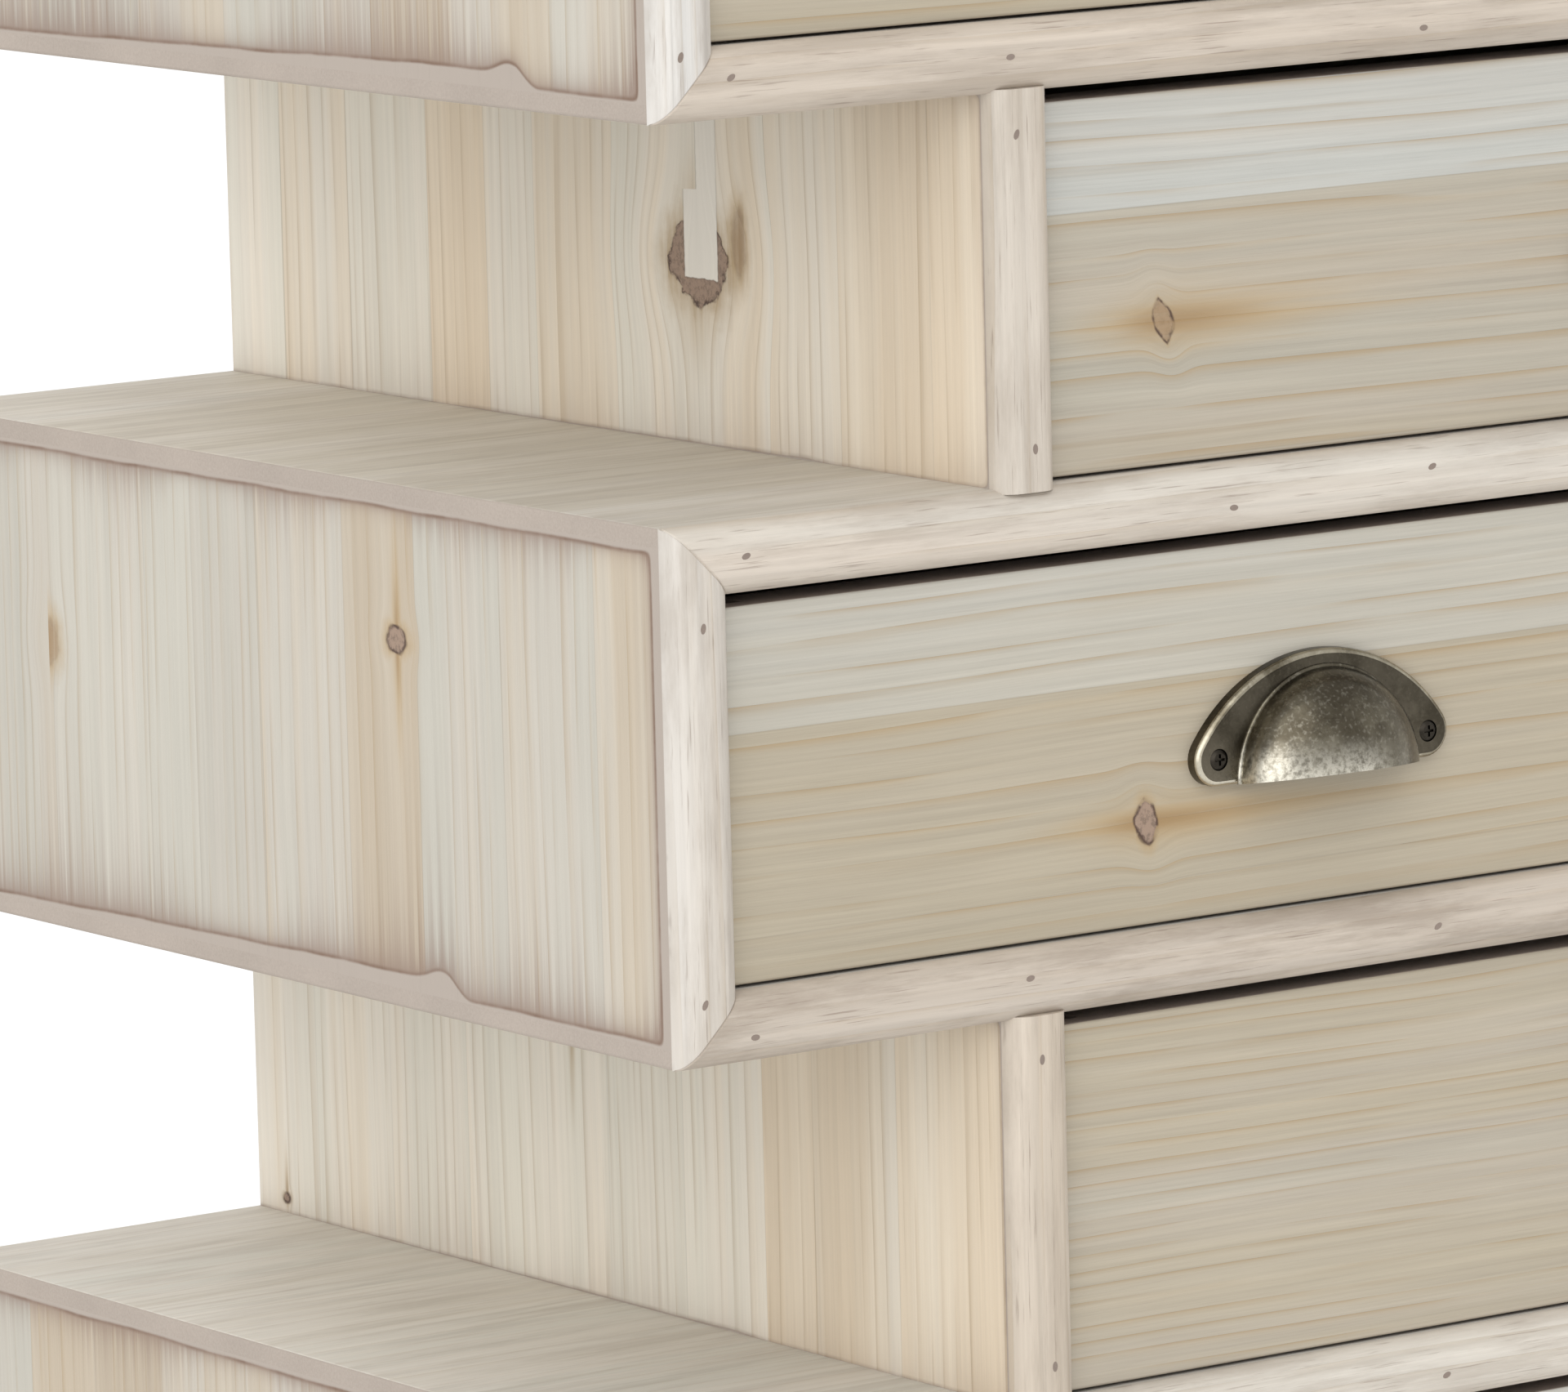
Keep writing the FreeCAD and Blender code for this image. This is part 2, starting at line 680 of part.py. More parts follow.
def pull():
    """The cup pull: a flange with the cup in its middle, open behind and below."""
    opening = rod(
        "flange_opening", 0, 0, -CUT_MARGIN, "2 * dome_radius - dome_wall",
        f"flange_thickness + {2 * CUT_MARGIN}")
    flange = cut("flange_open", pull_flange(), [opening])
    body = fused("pull_body", [flange, pull_dome()])
    cuts = [pull_mouth()]
    for side in SIDES:
        x = f"{'-' if side == 'left' else ''}{HOLE_SPACING} / 2"
        cuts.append(rod(
            f"pull_hole_{side}", x, "ear_radius", -CUT_MARGIN, "screw_shank_diameter + screw_slack",
            f"flange_thickness + {2 * CUT_MARGIN}"))
        cuts.append(rod(
            f"pull_seat_{side}", x, "ear_radius", "flange_thickness - screw_seat_depth",
            "screw_head_diameter + screw_slack", f"screw_seat_depth + {CUT_MARGIN}"))
    return cut("pull_open", body, cuts)


def pull_screws():
    """Two cross-head screws, their heads seated in the ears."""
    pieces = []
    seat = "(flange_thickness - screw_seat_depth)"
    for side in SIDES:
        x = f"{'-' if side == 'left' else ''}{HOLE_SPACING} / 2"
        rim = rod(
            f"screw_rim_{side}", x, "ear_radius", seat, "screw_head_diameter", "screw_head_height / 2")
        crown = doc.addObject("Part::Cone", f"screw_crown_{side}")
        bind(crown, Radius1="screw_head_diameter / 2", Radius2="screw_head_diameter / 3")
        bind(crown, Height="screw_head_height / 2")
        place(crown, x, "ear_radius", f"{seat} + screw_head_height / 2")
        shank = rod(
            f"screw_shank_{side}", x, "ear_radius", f"{seat} - screw_length", "screw_shank_diameter",
            "screw_length")
        floor = f"{seat} + screw_head_height - recess_depth"
        slots = []
        level = ("recess_length", "recess_width")
        for index, (length, width) in enumerate((level, level[::-1])):
            slots.append(box(
                f"screw_slot_{side}_{index}", f"{x} - {length} / 2", f"ear_radius - {width} / 2", floor,
                length, width, f"recess_depth + {CUT_MARGIN}"))
        whole = fused(f"screw_whole_{side}", [rim, crown, shank])
        pieces.append(cut(f"screw_{side}", whole, slots))
    return pieces


def on_front(name, pieces, shift):
    """Hardware drawn flat, stood upright on the drawer front, off its middle by a shift."""
    thing = group(name, pieces)
    place(
        thing, f"{OPENING_WIDTH} / 2 + {shift}", "front_setback", "front_bottom_gap + pull_base_height",
        FACING_FRONT)
    return thing


def make_drawers():
    """The same drawer in every tier, but for the place of its pull."""
    tray = {"sides": drawer_sides(), "back": [drawer_back()], "bottom": [drawer_bottom()]}
    cup = [pull()]
    screws = pull_screws()
    kinds = {}
    for kind, shift in (("left", 0), ("right", "pull_shift")):
        kinds[kind] = {
            "front": [drawer_front(shift)],
            **tray,
            "pull": [on_front("pull_upright", cup, shift)],
            "pull_screws": [on_front("screws_upright", screws, shift)],
        }
    for tier in range(1, TIERS + 1):
        x = f"{tier_left(tier)} + board_thickness"
        for name, solids in kinds["left" if tier % 2 else "right"].items():
            node(f"drawer_{tier}_{name}", solids, x, 0, deck_top(tier))


make_decks()
make_side_panels()
make_dowels()
make_backs_and_stops()
make_mouldings()
make_glides()
make_drawers()
doc.recompute()

for thing in doc.Objects:
    if "Invalid" in thing.State or "Error" in thing.State:
        raise RuntimeError(f"{thing.Name} failed: {thing.State}")
for thing in nodes:
    if thing.Shape.isNull() or not thing.Shape.isValid():
        raise RuntimeError(f"{thing.Label} has no valid shape")

os.makedirs("parts", exist_ok=True)
for thing in nodes:
    thing.Shape.exportStep(f"parts/{thing.Label}.step")
    print(thing.Label, len(thing.Shape.Solids), round(thing.Shape.Volume))
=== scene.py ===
import logging
import math
from dataclasses import dataclass
from enum import Enum
from typing import Callable, Optional, Sequence, Union

import bmesh
import bpy
from mathutils import Matrix, Vector


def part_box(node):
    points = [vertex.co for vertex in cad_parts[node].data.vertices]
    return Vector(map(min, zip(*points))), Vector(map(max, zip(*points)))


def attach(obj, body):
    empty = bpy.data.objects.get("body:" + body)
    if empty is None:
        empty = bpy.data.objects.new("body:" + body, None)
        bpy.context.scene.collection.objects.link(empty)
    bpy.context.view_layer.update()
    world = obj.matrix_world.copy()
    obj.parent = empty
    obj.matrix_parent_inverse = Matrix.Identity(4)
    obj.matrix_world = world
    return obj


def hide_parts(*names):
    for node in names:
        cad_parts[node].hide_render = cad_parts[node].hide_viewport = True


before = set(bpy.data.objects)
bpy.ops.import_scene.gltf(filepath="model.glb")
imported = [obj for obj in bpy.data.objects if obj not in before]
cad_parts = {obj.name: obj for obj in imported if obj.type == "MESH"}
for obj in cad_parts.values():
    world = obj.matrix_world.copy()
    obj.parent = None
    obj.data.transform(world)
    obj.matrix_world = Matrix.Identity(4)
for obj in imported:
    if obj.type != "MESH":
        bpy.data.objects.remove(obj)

logging.basicConfig(level=logging.INFO, format="%(message)s")
LOG = logging.getLogger("stepped_chest")

# Sizes are in metres. The origin lies on the floor, under the middle of the chest.
MM = 0.001
TIERS = 7
BOARD = 18 * MM
LIP = 5 * MM
COPE = 1.2 * MM
MERGE = 0.001 * MM
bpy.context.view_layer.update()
CARCASS = "carcass"

# How near two places lie to count as one, and how straight a face looks along an axis.
TOUCH = 0.1 * MM
FACING = 0.9

# The tier that the photograph shows whole, and where each kind of board starts its numbers.
SHOWN_TIER = 5
PANEL_BOARDS = 20
RAIL_BOARDS = 45
LEFT_STILE_BOARDS = 60
RIGHT_STILE_BOARDS = 80
FRONT_BOARDS = 100

Socket = bpy.types.NodeSocket
Material = bpy.types.Material
Form = bmesh.types.BMesh
Corner = bmesh.types.BMVert
Edge = bmesh.types.BMEdge
Face = bmesh.types.BMFace
Colour = tuple[float, float, float, float]
Value = Union[float, Colour, Vector, Socket]


def tint(red: float, green: float, blue: float) -> Colour:
    """A colour from display values of 0 to 255.

    Args:
        red: Display red.
        green: Display green.
        blue: Display blue.

    Returns:
        The same colour in linear light.
    """
    parts = []
    for part in (red, green, blue):
        share = part / 255
        parts.append(share / 12.92 if share <= 0.04045 else ((share + 0.055) / 1.055) ** 2.4)
    return (parts[0], parts[1], parts[2], 1.0)


class Side(Enum):
    """The two ends of a tier."""

    LEFT = "left"
    RIGHT = "right"

    @property
    def outward(self) -> float:
        """The sign of the way out of the chest."""
        return -1.0 if self is Side.LEFT else 1.0


class Grain(Enum):
    """Which axes run along and across the grain."""

    UPRIGHT_SIDE = (2, 1)
    LEVEL_FRONT = (0, 2)
    LEVEL_DECK = (0, 1)
    STILE = (2, 0)
    DRAWER_SIDE = (1, 2)


class Graph:
    """A node tree under construction."""

    def __init__(self, tree: bpy.types.NodeTree) -> None:
        """Starts from an empty tree."""
        self.tree = tree
        tree.nodes.clear()

    def add(self, kind: str, **settings: object) -> bpy.types.Node:
        """Adds a node and sets its options.

        Args:
            kind: The kind of node.
            settings: Its options by name.

        Returns:
            The node.
        """
        node = self.tree.nodes.new(kind)
        for name, value in settings.items():
            setattr(node, name, value)
        return node

    def feed(self, socket: Socket, value: Value) -> None:
        """Links a socket to another one, or sets its constant.

        Args:
            socket: The socket that gets the value.
            value: The other socket or the constant.
        """
        if isinstance(value, Socket):
            self.tree.links.new(value, socket)
        else:
            socket.default_value = value

    def fed(self, kind: str, values: dict[str, Value], **settings: object) -> bpy.types.Node:
        """Adds a node with its options, and its inputs by name.

        Args:
            kind: The kind of node.
            values: What its inputs get, by name.
            settings: Its options by name.

        Returns:
            The node.
        """
        node = self.add(kind, **settings)
        for name, value in values.items():
            self.feed(node.inputs[name], value)
        return node

    def calc(self, operation: str, *values: Value) -> Socket:
        """A calculation with one, two or three values.

        Args:
            operation: The kind of calculation.
            values: What it works on.

        Returns:
            The result.
        """
        node = self.add("ShaderNodeMath", operation=operation)
        for socket, value in zip(node.inputs, values):
            self.feed(socket, value)
        return node.outputs[0]

    def plus(self, first: Value, second: Value) -> Socket:
        """A sum."""
        return self.calc("ADD", first, second)

    def minus(self, first: Value, second: Value) -> Socket:
        """A difference."""
        return self.calc("SUBTRACT", first, second)

    def times(self, first: Value, second: Value) -> Socket:
        """A product."""
        return self.calc("MULTIPLY", first, second)

    def over(self, first: Value, second: Value) -> Socket:
        """A quotient."""
        return self.calc("DIVIDE", first, second)

    def scaled(self, value: Value, factor: Value, shift: Value) -> Socket:
        """A value times a factor, with a shift added."""
        return self.calc("MULTIPLY_ADD", value, factor, shift)

    def fade(self, value: Value, start: Value, end: Value) -> Socket:
        """A soft step from 0 at start to 1 at end."""
        ends = {"Value": value, "From Min": start, "From Max": end}
        return self.fed("ShaderNodeMapRange", ends, interpolation_type="SMOOTHSTEP").outputs["Result"]

    def span(self, value: Value, start: float, end: float, low: float, high: float) -> Socket:
        """A straight change from low to high, held at both ends."""
        ends = {"Value": value, "From Min": start, "From Max": end, "To Min": low, "To Max": high}
        return self.fed("ShaderNodeMapRange", ends).outputs["Result"]

    def join(self, first: Value, second: Value, third: Value = 0.0) -> Socket:
        """A vector from three values.

        Args:
            first: The first value.
            second: The second value.
            third: The third value.

        Returns:
            The vector.
        """
        node = self.add("ShaderNodeCombineXYZ")
        for socket, value in zip(node.inputs, (first, second, third)):
            self.feed(socket, value)
        return node.outputs[0]

    def split(self, vector: Socket) -> Sequence[Socket]:
        """The three values of a vector.

        Args:
            vector: The vector.

        Returns:
            The values in order.
        """
        node = self.add("ShaderNodeSeparateXYZ")
        self.feed(node.inputs[0], vector)
        return node.outputs

    def noise(self, vector: Value, scale: float, detail: float = 2.0, rough: float = 0.5) -> Socket:
        """Cloudy noise from 0 to 1."""
        values = {"Vector": vector, "Scale": scale, "Detail": detail, "Roughness": rough}
        return self.fed("ShaderNodeTexNoise", values).outputs["Fac"]

    def stretched(
        self, along: Value, across: Value, seed: Value, slow: float, fast: float, detail: float = 2.0,
        rough: float = 0.5,
    ) -> Socket:
        """Noise drawn out along the grain.

        Args:
            along: The coordinate along the grain.
            across: The coordinate across the grain.
            seed: The number of the board.
            slow: Changes to the metre along the grain.
            fast: Changes to the metre across the grain.
            detail: Finer layers of noise.
            rough: Weight of the finer layers.

        Returns:
            The noise from 0 to 1.
        """
        spot = self.join(self.times(along, slow), self.times(across, fast), seed)
        return self.noise(spot, 1.0, detail, rough)

    def bell(self, value: Value, steep: float) -> Socket:
        """A bell curve that is 1 where a value is 0."""
        return self.calc("EXPONENT", self.times(self.times(value, value), -steep))

    def mix(self, share: Value, first: Value, second: Value, blend: str = "MIX") -> Socket:
        """Two colours blended.

        Args:
            share: How much of the second colour is in it.
            first: The first colour.
            second: The second colour.
            blend: How the colours meet.

        Returns:
            The blend.
        """
        node = self.add("ShaderNodeMix", data_type="RGBA", blend_type=blend)
        self.feed(node.inputs[0], share)
        self.feed(node.inputs[6], first)
        self.feed(node.inputs[7], second)
        return node.outputs[2]

    def darken(self, colour: Value, mask: Value, amount: float) -> Socket:
        """A colour made darker where a mask is 1, or lighter with a negative amount."""
        return self.mix(1.0, colour, self.scaled(mask, -amount, 1.0), "MULTIPLY")

    def vary(self, colour: Value, noise: Value, amount: float) -> Socket:
        """A colour made darker where a noise is high and lighter where it is low."""
        return self.darken(colour, self.minus(noise, 0.5), amount)

    def cover(self, colour: Value, mask: Value, share: float, paint: Value) -> Socket:
        """A colour covered with a share of another one where a mask is 1."""
        return self.mix(self.times(mask, share), colour, paint)

    def palette(self, value: Value, colours: Sequence[Colour]) -> Socket:
        """A colour from an even row of colours.

        Args:
            value: The place in the row, from 0 to 1.
            colours: The row.

        Returns:
            The colour.
        """
        node = self.add("ShaderNodeValToRGB")
        self.feed(node.inputs[0], value)
        marks = node.color_ramp.elements
        while len(marks) < len(colours):
            marks.new(0.5)
        for index, colour in enumerate(colours):
            marks[index].position = index / (len(colours) - 1)
            marks[index].color = colour
        return node.outputs["Color"]

    def call(self, group: bpy.types.NodeTree, **values: Value) -> Sequence[Socket]:
        """Uses a shared group, with its inputs by name."""
        named = {name.replace("_", " "): value for name, value in values.items()}
        return self.fed("ShaderNodeGroup", named, node_tree=group).outputs


class Effect:
    """A shared shader effect, as a node group."""

    def __init__(self, name: str, inputs: Sequence[str], outputs: Sequence[str]) -> None:
        """Makes the group with number sockets.

        Args:
            name: The name of the effect.
            inputs: The names of its inputs.
            outputs: The names of its outputs.
        """
        self.tree = bpy.data.node_groups.new(name, "ShaderNodeTree")
        for way, labels in (("INPUT", inputs), ("OUTPUT", outputs)):
            for label in labels:
                self.tree.interface.new_socket(name=label, in_out=way, socket_type="NodeSocketFloat")
        self.graph = Graph(self.tree)
        self.inputs = self.graph.add("NodeGroupInput").outputs
        self.outputs = self.graph.add("NodeGroupOutput").inputs

    def give(self, name: str, value: Socket) -> None:
        """Sets one output of the effect."""
        self.graph.feed(self.outputs[name], value)


def fir_grain() -> bpy.types.NodeTree:
    """Glued strips of fir with soft bands, thin late-wood lines and pinstripes.

    Returns:
        A group with the tone and hue of a strip, and masks of lines, pinstripes and glue lines.
    """
    # Noises: changes to the metre along and across the grain, then detail and weight.
    sway_noise = (3.0, 7.0)
    soft_noise = (1.4, 42.0, 3.0, 0.55)
    broad_noise = (1.6, 70.0)
    break_noise = (12.0, 150.0)
    pin_noise = (5.0, 430.0, 4.0, 0.72)
    board_step = 17.31
    strip_spread = 0.8
    line_sway = 1.8
    line_edge = 6.0
    sway_reach = 0.009
    line_gap = 0.0038
    line_spread = 0.004
    glue_line = 0.0004
    effect = Effect(
        "fir_grain", ("Along", "Across", "Seed", "Strip"), ("Tone", "Hue", "Lines", "Pins", "Joint"))
    graph = effect.graph
    along = effect.inputs["Along"]
    across = effect.inputs["Across"]
    seed = effect.inputs["Seed"]
    strip = effect.inputs["Strip"]
    place = graph.scaled(seed, board_step, graph.over(across, strip))
    cells = graph.add("ShaderNodeTexVoronoi", voronoi_dimensions="1D")
    edges = graph.add("ShaderNodeTexVoronoi", voronoi_dimensions="1D", feature="DISTANCE_TO_EDGE")
    for node in (cells, edges):
        graph.feed(node.inputs["W"], place)
        graph.feed(node.inputs["Scale"], 1.0)
        graph.feed(node.inputs["Randomness"], strip_spread)
    tone, offset, chance = graph.split(cells.outputs["Color"])
    gap = graph.times(edges.outputs["Distance"], strip)

    start = graph.scaled(chance, 3.7, along)
    depth = graph.scaled(seed, 3.1, graph.times(chance, 11.0))
    sway = graph.stretched(start, across, depth, *sway_noise)
    bent = graph.scaled(graph.minus(sway, 0.5), sway_reach, across)
    soft = graph.stretched(start, bent, seed, *soft_noise)
    hue = graph.scaled(offset, 0.3, graph.times(soft, 0.7))
    broad = graph.stretched(start, bent, depth, *broad_noise)
    spacing = graph.scaled(chance, line_spread, line_gap)
    phase = graph.scaled(broad, line_sway, graph.over(bent, spacing))
    late = graph.calc("POWER", graph.calc("FRACT", phase), line_edge)
    life = graph.fade(graph.stretched(start, bent, depth, *break_noise), 0.36, 0.6)
    effect.give("Tone", tone)
    effect.give("Hue", graph.fade(hue, 0.3, 0.68))
    effect.give("Lines", graph.times(late, life))
    effect.give("Pins", graph.stretched(start, bent, depth, *pin_noise))
    effect.give("Joint", graph.fade(gap, glue_line, 0.0))
    return effect.tree


def knot_mark() -> bpy.types.NodeTree:
    """A knot with a dark ragged outline, a stain along the grain and the grain bent round it.

    Returns:
        A group with masks of the heart, outline, stain and dark core, and the shift of the grain.
    """
    # Noises: changes to the metre, then detail and weight.
    lump_noise = (170.0, 1.0)
    rag_noise = (520.0, 3.0, 0.6)
    break_noise = (330.0, 2.0)
    streak_noise = (20.0, 480.0)
    lump_share = 0.75
    rag_share = 0.34
    halo_reach = 2.3
    grain_bend = -0.75
    rim_thick = 0.00085
    rim_rag = 0.0022
    rim_least = 0.00045
    effect = Effect(
        "knot_mark",
        ("Along", "Across", "Centre Along", "Centre Across", "Half Along", "Half Across", "Stain Reach",
         "Stain Half", "Bias", "Lens", "Lean"),
        ("Heart", "Outline", "Stain", "Core", "Shift"))
    graph = effect.graph
    ins = effect.inputs
    off_across = graph.minus(ins["Across"], ins["Centre Across"])
    straight = graph.minus(ins["Along"], ins["Centre Along"])
    off_along = graph.scaled(off_across, ins["Lean"], straight)
    spot = graph.join(off_along, off_across, ins["Centre Along"])
    lumps = graph.minus(graph.noise(spot, *lump_noise), 0.5)
    rag = graph.minus(graph.noise(spot, *rag_noise), 0.5)
    one = graph.over(off_along, ins["Half Along"])
    two = graph.over(off_across, ins["Half Across"])
    height = graph.times(two, two)
    square = graph.scaled(one, one, height)
    oval = graph.calc("SQRT", square)
    lens = graph.plus(graph.calc("ABSOLUTE", one), height)
    shape = graph.scaled(graph.minus(lens, oval), ins["Lens"], oval)
    ring = graph.scaled(rag, rag_share, graph.scaled(lumps, lump_share, shape))
    size = graph.calc("MINIMUM", ins["Half Along"], ins["Half Across"])
    outside = graph.times(graph.minus(ring, 1.0), size)
    thick = graph.calc("MAXIMUM", graph.scaled(rag, rim_rag, rim_thick), rim_least)
    effect.give("Heart", graph.fade(outside, 0.00005, -0.00015))
    broken = graph.span(graph.noise(spot, *break_noise), 0.38, 0.56, 0.2, 1.0)
    outline = graph.fade(graph.calc("ABSOLUTE", outside), thick, 0.0)
    effect.give("Outline", graph.times(outline, broken))

    leaning = graph.scaled(graph.calc("SIGN", straight), ins["Bias"], 1.0)
    far = graph.over(graph.calc("ABSOLUTE", straight), graph.times(ins["Stain Reach"], leaning))
    narrow = graph.calc("MAXIMUM", graph.scaled(far, -0.7, 1.0), 0.25)
    side = graph.over(off_across, graph.times(ins["Stain Half"], narrow))
    trail = graph.times(graph.bell(side, 1.0), graph.fade(far, 1.0, 0.05))
    streak = graph.fade(graph.stretched(straight, off_across, ins["Lens"], *streak_noise), 0.2, 0.62)
    halo = graph.fade(ring, halo_reach, 1.0)
    both = graph.calc("MAXIMUM", trail, graph.times(halo, 0.8))
    effect.give("Stain", graph.times(both, graph.scaled(streak, 0.5, 0.5)))
    core = graph.times(graph.fade(far, 0.45, 0.0), graph.bell(side, 5.0))
    whorl = graph.times(graph.fade(ring, 1.5, 0.6), graph.scaled(streak, 0.6, 0.4))
    effect.give("Core", graph.calc("MAXIMUM", core, whorl))
    near = graph.bell(oval, 0.3)
    effect.give("Shift", graph.times(graph.times(off_across, near), grain_bend))
    return effect.tree


def veneer_edge() -> bpy.types.NodeTree:
    """Where a face veneer stops short of the edges of its board, rubbed brown along the way.

    Returns:
        A group with a mask of the veneer, of the brown line along its edge and of the rubbed zone.
    """
    # Noises: changes to the metre, then detail and weight.
    ripple_noise = (26.0, 2.0)
    patch_noise = (55.0, 4.0, 0.65)
    comb_noise = (1.0, 4.0, 0.7)
    broad_noise = (1.0, 2.0)
    comb_teeth = 420.0
    broad_zones = 13.0
    sharp_corner = 0.001
    round_corner = 0.004
    rise_start = 0.325
    rise_end = 0.14
    rise_height = 0.0033
    step_start = 0.088
    step_end = 0.099
    spike_place = 0.102
    spike_half = 0.007
    spike_height = 0.0026
    tier_shift = 0.021
    effect = Effect(
        "veneer_edge", ("From Front", "From Below", "From Above", "Bare Front", "Worn", "Seed"),
        ("Veneer", "Line", "Rubbed"))
    graph = effect.graph
    ins = effect.inputs
    run = ins["From Front"]
    ripple = graph.noise(graph.join(run, 0.0, ins["Seed"]), *ripple_noise)
    place = graph.scaled(graph.minus(ins["Seed"], PANEL_BOARDS + SHOWN_TIER), tier_shift, run)
    rise = graph.span(place, rise_start, rise_end, 0.0, rise_height)
    spike = graph.bell(graph.over(graph.minus(place, spike_place), spike_half), 1.0)
    bite = graph.times(graph.scaled(spike, spike_height, rise), graph.fade(place, step_start, step_end))
    wave = graph.plus(bite, graph.scaled(ripple, 0.0016, 0.0001))
    below = graph.minus(ins["From Below"], graph.times(wave, ins["Worn"]))
    dip = graph.scaled(ripple, 0.0018, 0.0003)
    above = graph.minus(ins["From Above"], graph.times(dip, ins["Worn"]))
    front = graph.minus(run, graph.scaled(ripple, 0.0012, ins["Bare Front"]))
    nearest = graph.calc("SMOOTH_MIN", below, above, sharp_corner)
    nearest = graph.calc("SMOOTH_MIN", nearest, front, round_corner)
    effect.give("Veneer", graph.fade(nearest, -0.0002, 0.0002))
    spot = graph.join(run, ins["From Below"], ins["Seed"])
    patchy = graph.span(graph.noise(spot, *patch_noise), 0.35, 0.62, 0.3, 1.0)
    line = graph.times(graph.fade(nearest, -0.0006, 0.0), graph.fade(nearest, 0.0012, 0.0))
    effect.give("Line", graph.times(line, patchy))
    comb = graph.noise(graph.join(graph.times(run, comb_teeth), 0.0, ins["Seed"]), *comb_noise)
    teeth = graph.fade(comb, 0.34, 0.68)
    # Each edge with the longest and the least reach of its rubbing, and its own place in the noise.
    rubs = ((below, 0.02, 0.0028, 3.0), (above, 0.01, 0.0018, 9.0), (front, 0.004, 0.001, 15.0))
    parts = []
    for distance, reach, plain, shift in rubs:
        broad = graph.noise(graph.join(graph.times(run, broad_zones), shift, ins["Seed"]), *broad_noise)
        mixed = graph.times(teeth, graph.fade(broad, 0.38, 0.62))
        length = graph.scaled(mixed, reach, plain)
        parts.append(graph.calc("EXPONENT", graph.over(graph.times(distance, -1.0), length)))
    whole = graph.plus(graph.plus(parts[0], parts[1]), parts[2])
    effect.give("Rubbed", graph.calc("MINIMUM", whole, 1.0))
    return effect.tree


def inlay() -> bpy.types.NodeTree:
    """An upright patch let into the veneer, with a narrower upper end.

    Returns:
        A group with a mask of the patch and of the shadow along its edge.
    """
    rag_noise = (300.0, 2.0)
    rag_reach = 0.0016
    shadow_out = -0.0006
    shadow_in = 0.0003
    effect = Effect(
        "inlay", ("Height", "Depth", "Low", "Step", "High", "Front", "Middle", "Back"), ("Patch", "Shadow"))
    graph = effect.graph
    ins = effect.inputs
    rag = graph.noise(graph.join(ins["Height"], ins["Depth"], 0.0), *rag_noise)
    sway = graph.scaled(rag, rag_reach, -rag_reach / 2)
    depth = graph.plus(ins["Depth"], graph.times(sway, 0.4))
    lower = graph.minus(ins["Height"], graph.plus(ins["Low"], sway))
    upper = graph.minus(ins["High"], ins["Height"])
    above_step = graph.fade(ins["Height"], ins["Step"], graph.plus(ins["Step"], 0.0004))
    back = graph.scaled(above_step, graph.minus(ins["Middle"], ins["Back"]), ins["Back"])
    inner = graph.calc("MINIMUM", graph.minus(depth, ins["Front"]), graph.minus(back, depth))
    nearest = graph.calc("MINIMUM", inner, graph.calc("MINIMUM", lower, upper))
    effect.give("Patch", graph.fade(nearest, -0.00015, 0.00015))
    shadow = graph.times(graph.fade(nearest, shadow_out, 0.0), graph.fade(nearest, shadow_in, 0.0))
    effect.give("Shadow", shadow)
    return effect.tree


# Finishes

GRAIN_EFFECT = fir_grain()
KNOT_EFFECT = knot_mark()
EDGE_EFFECT = veneer_edge()
INLAY_EFFECT = inlay()
FRONT_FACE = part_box("deck_1")[0].y

# Noises of the finishes: changes to the metre, then detail and weight.
WOOD_CLOUD = (14.0, 3.0)
KNOT_SPECKLE = (700.0, 4.0, 0.7)
FELT_SPECKLE = (1500.0, 3.0, 0.7)
FELT_CLOUD = (30.0, 3.0)
BRASS_CLOUD = (70.0, 4.0, 0.6)
BRASS_FLECK = (650.0, 4.0, 0.7)
BRASS_GRIT = (1000.0, 3.0)
SMOOTH_CLOUD = (260.0, 4.0, 0.6)

# Noises with their changes along and across the grain.
GREY_STREAKS = (14.0, 120.0, 6.0, 0.68)
DASHES = (42.0, 1500.0, 3.0, 0.6)

FIBRE = tint(170, 159, 149)
STAIN = tint(172, 145, 102)
STAIN_CORE = tint(136, 106, 68)
LATE_WOOD = tint(158, 132, 92)
FLECK = tint(128, 112, 100)
KNOT_RIM = tint(66, 46, 40)
KNOT_HEART = tint(152, 130, 113)
SANDED_AND_SHADOW_LINE = tint(112, 86, 68)
RUBBED = tint(132, 110, 98)
WEATHERED = tint(148, 135, 121)
PATCH = tint(222, 217, 207)


@dataclass(frozen=True)
class Knot:
    """A knot: its place and half its size along and across the grain, and how far its stain runs.

    A halved knot lies on a joint, and only the part before its middle is there.
    """

    along: float
    across: float
    half_along: float
    half_across: float
    stain: float
    stain_half: float = 4 * MM
    bias: float = 0.0
    lens: float = 0.0
    lean: float = 0.0
    strength: float = 1.0
    heart: float = 1.0
    halved: bool = False


@dataclass(frozen=True)
class Patch:
    """A patch let into a side veneer: its heights, and its places from the front to the back."""

    low: float
    step: float
    high: float
    front: float
    middle: float
    back: float


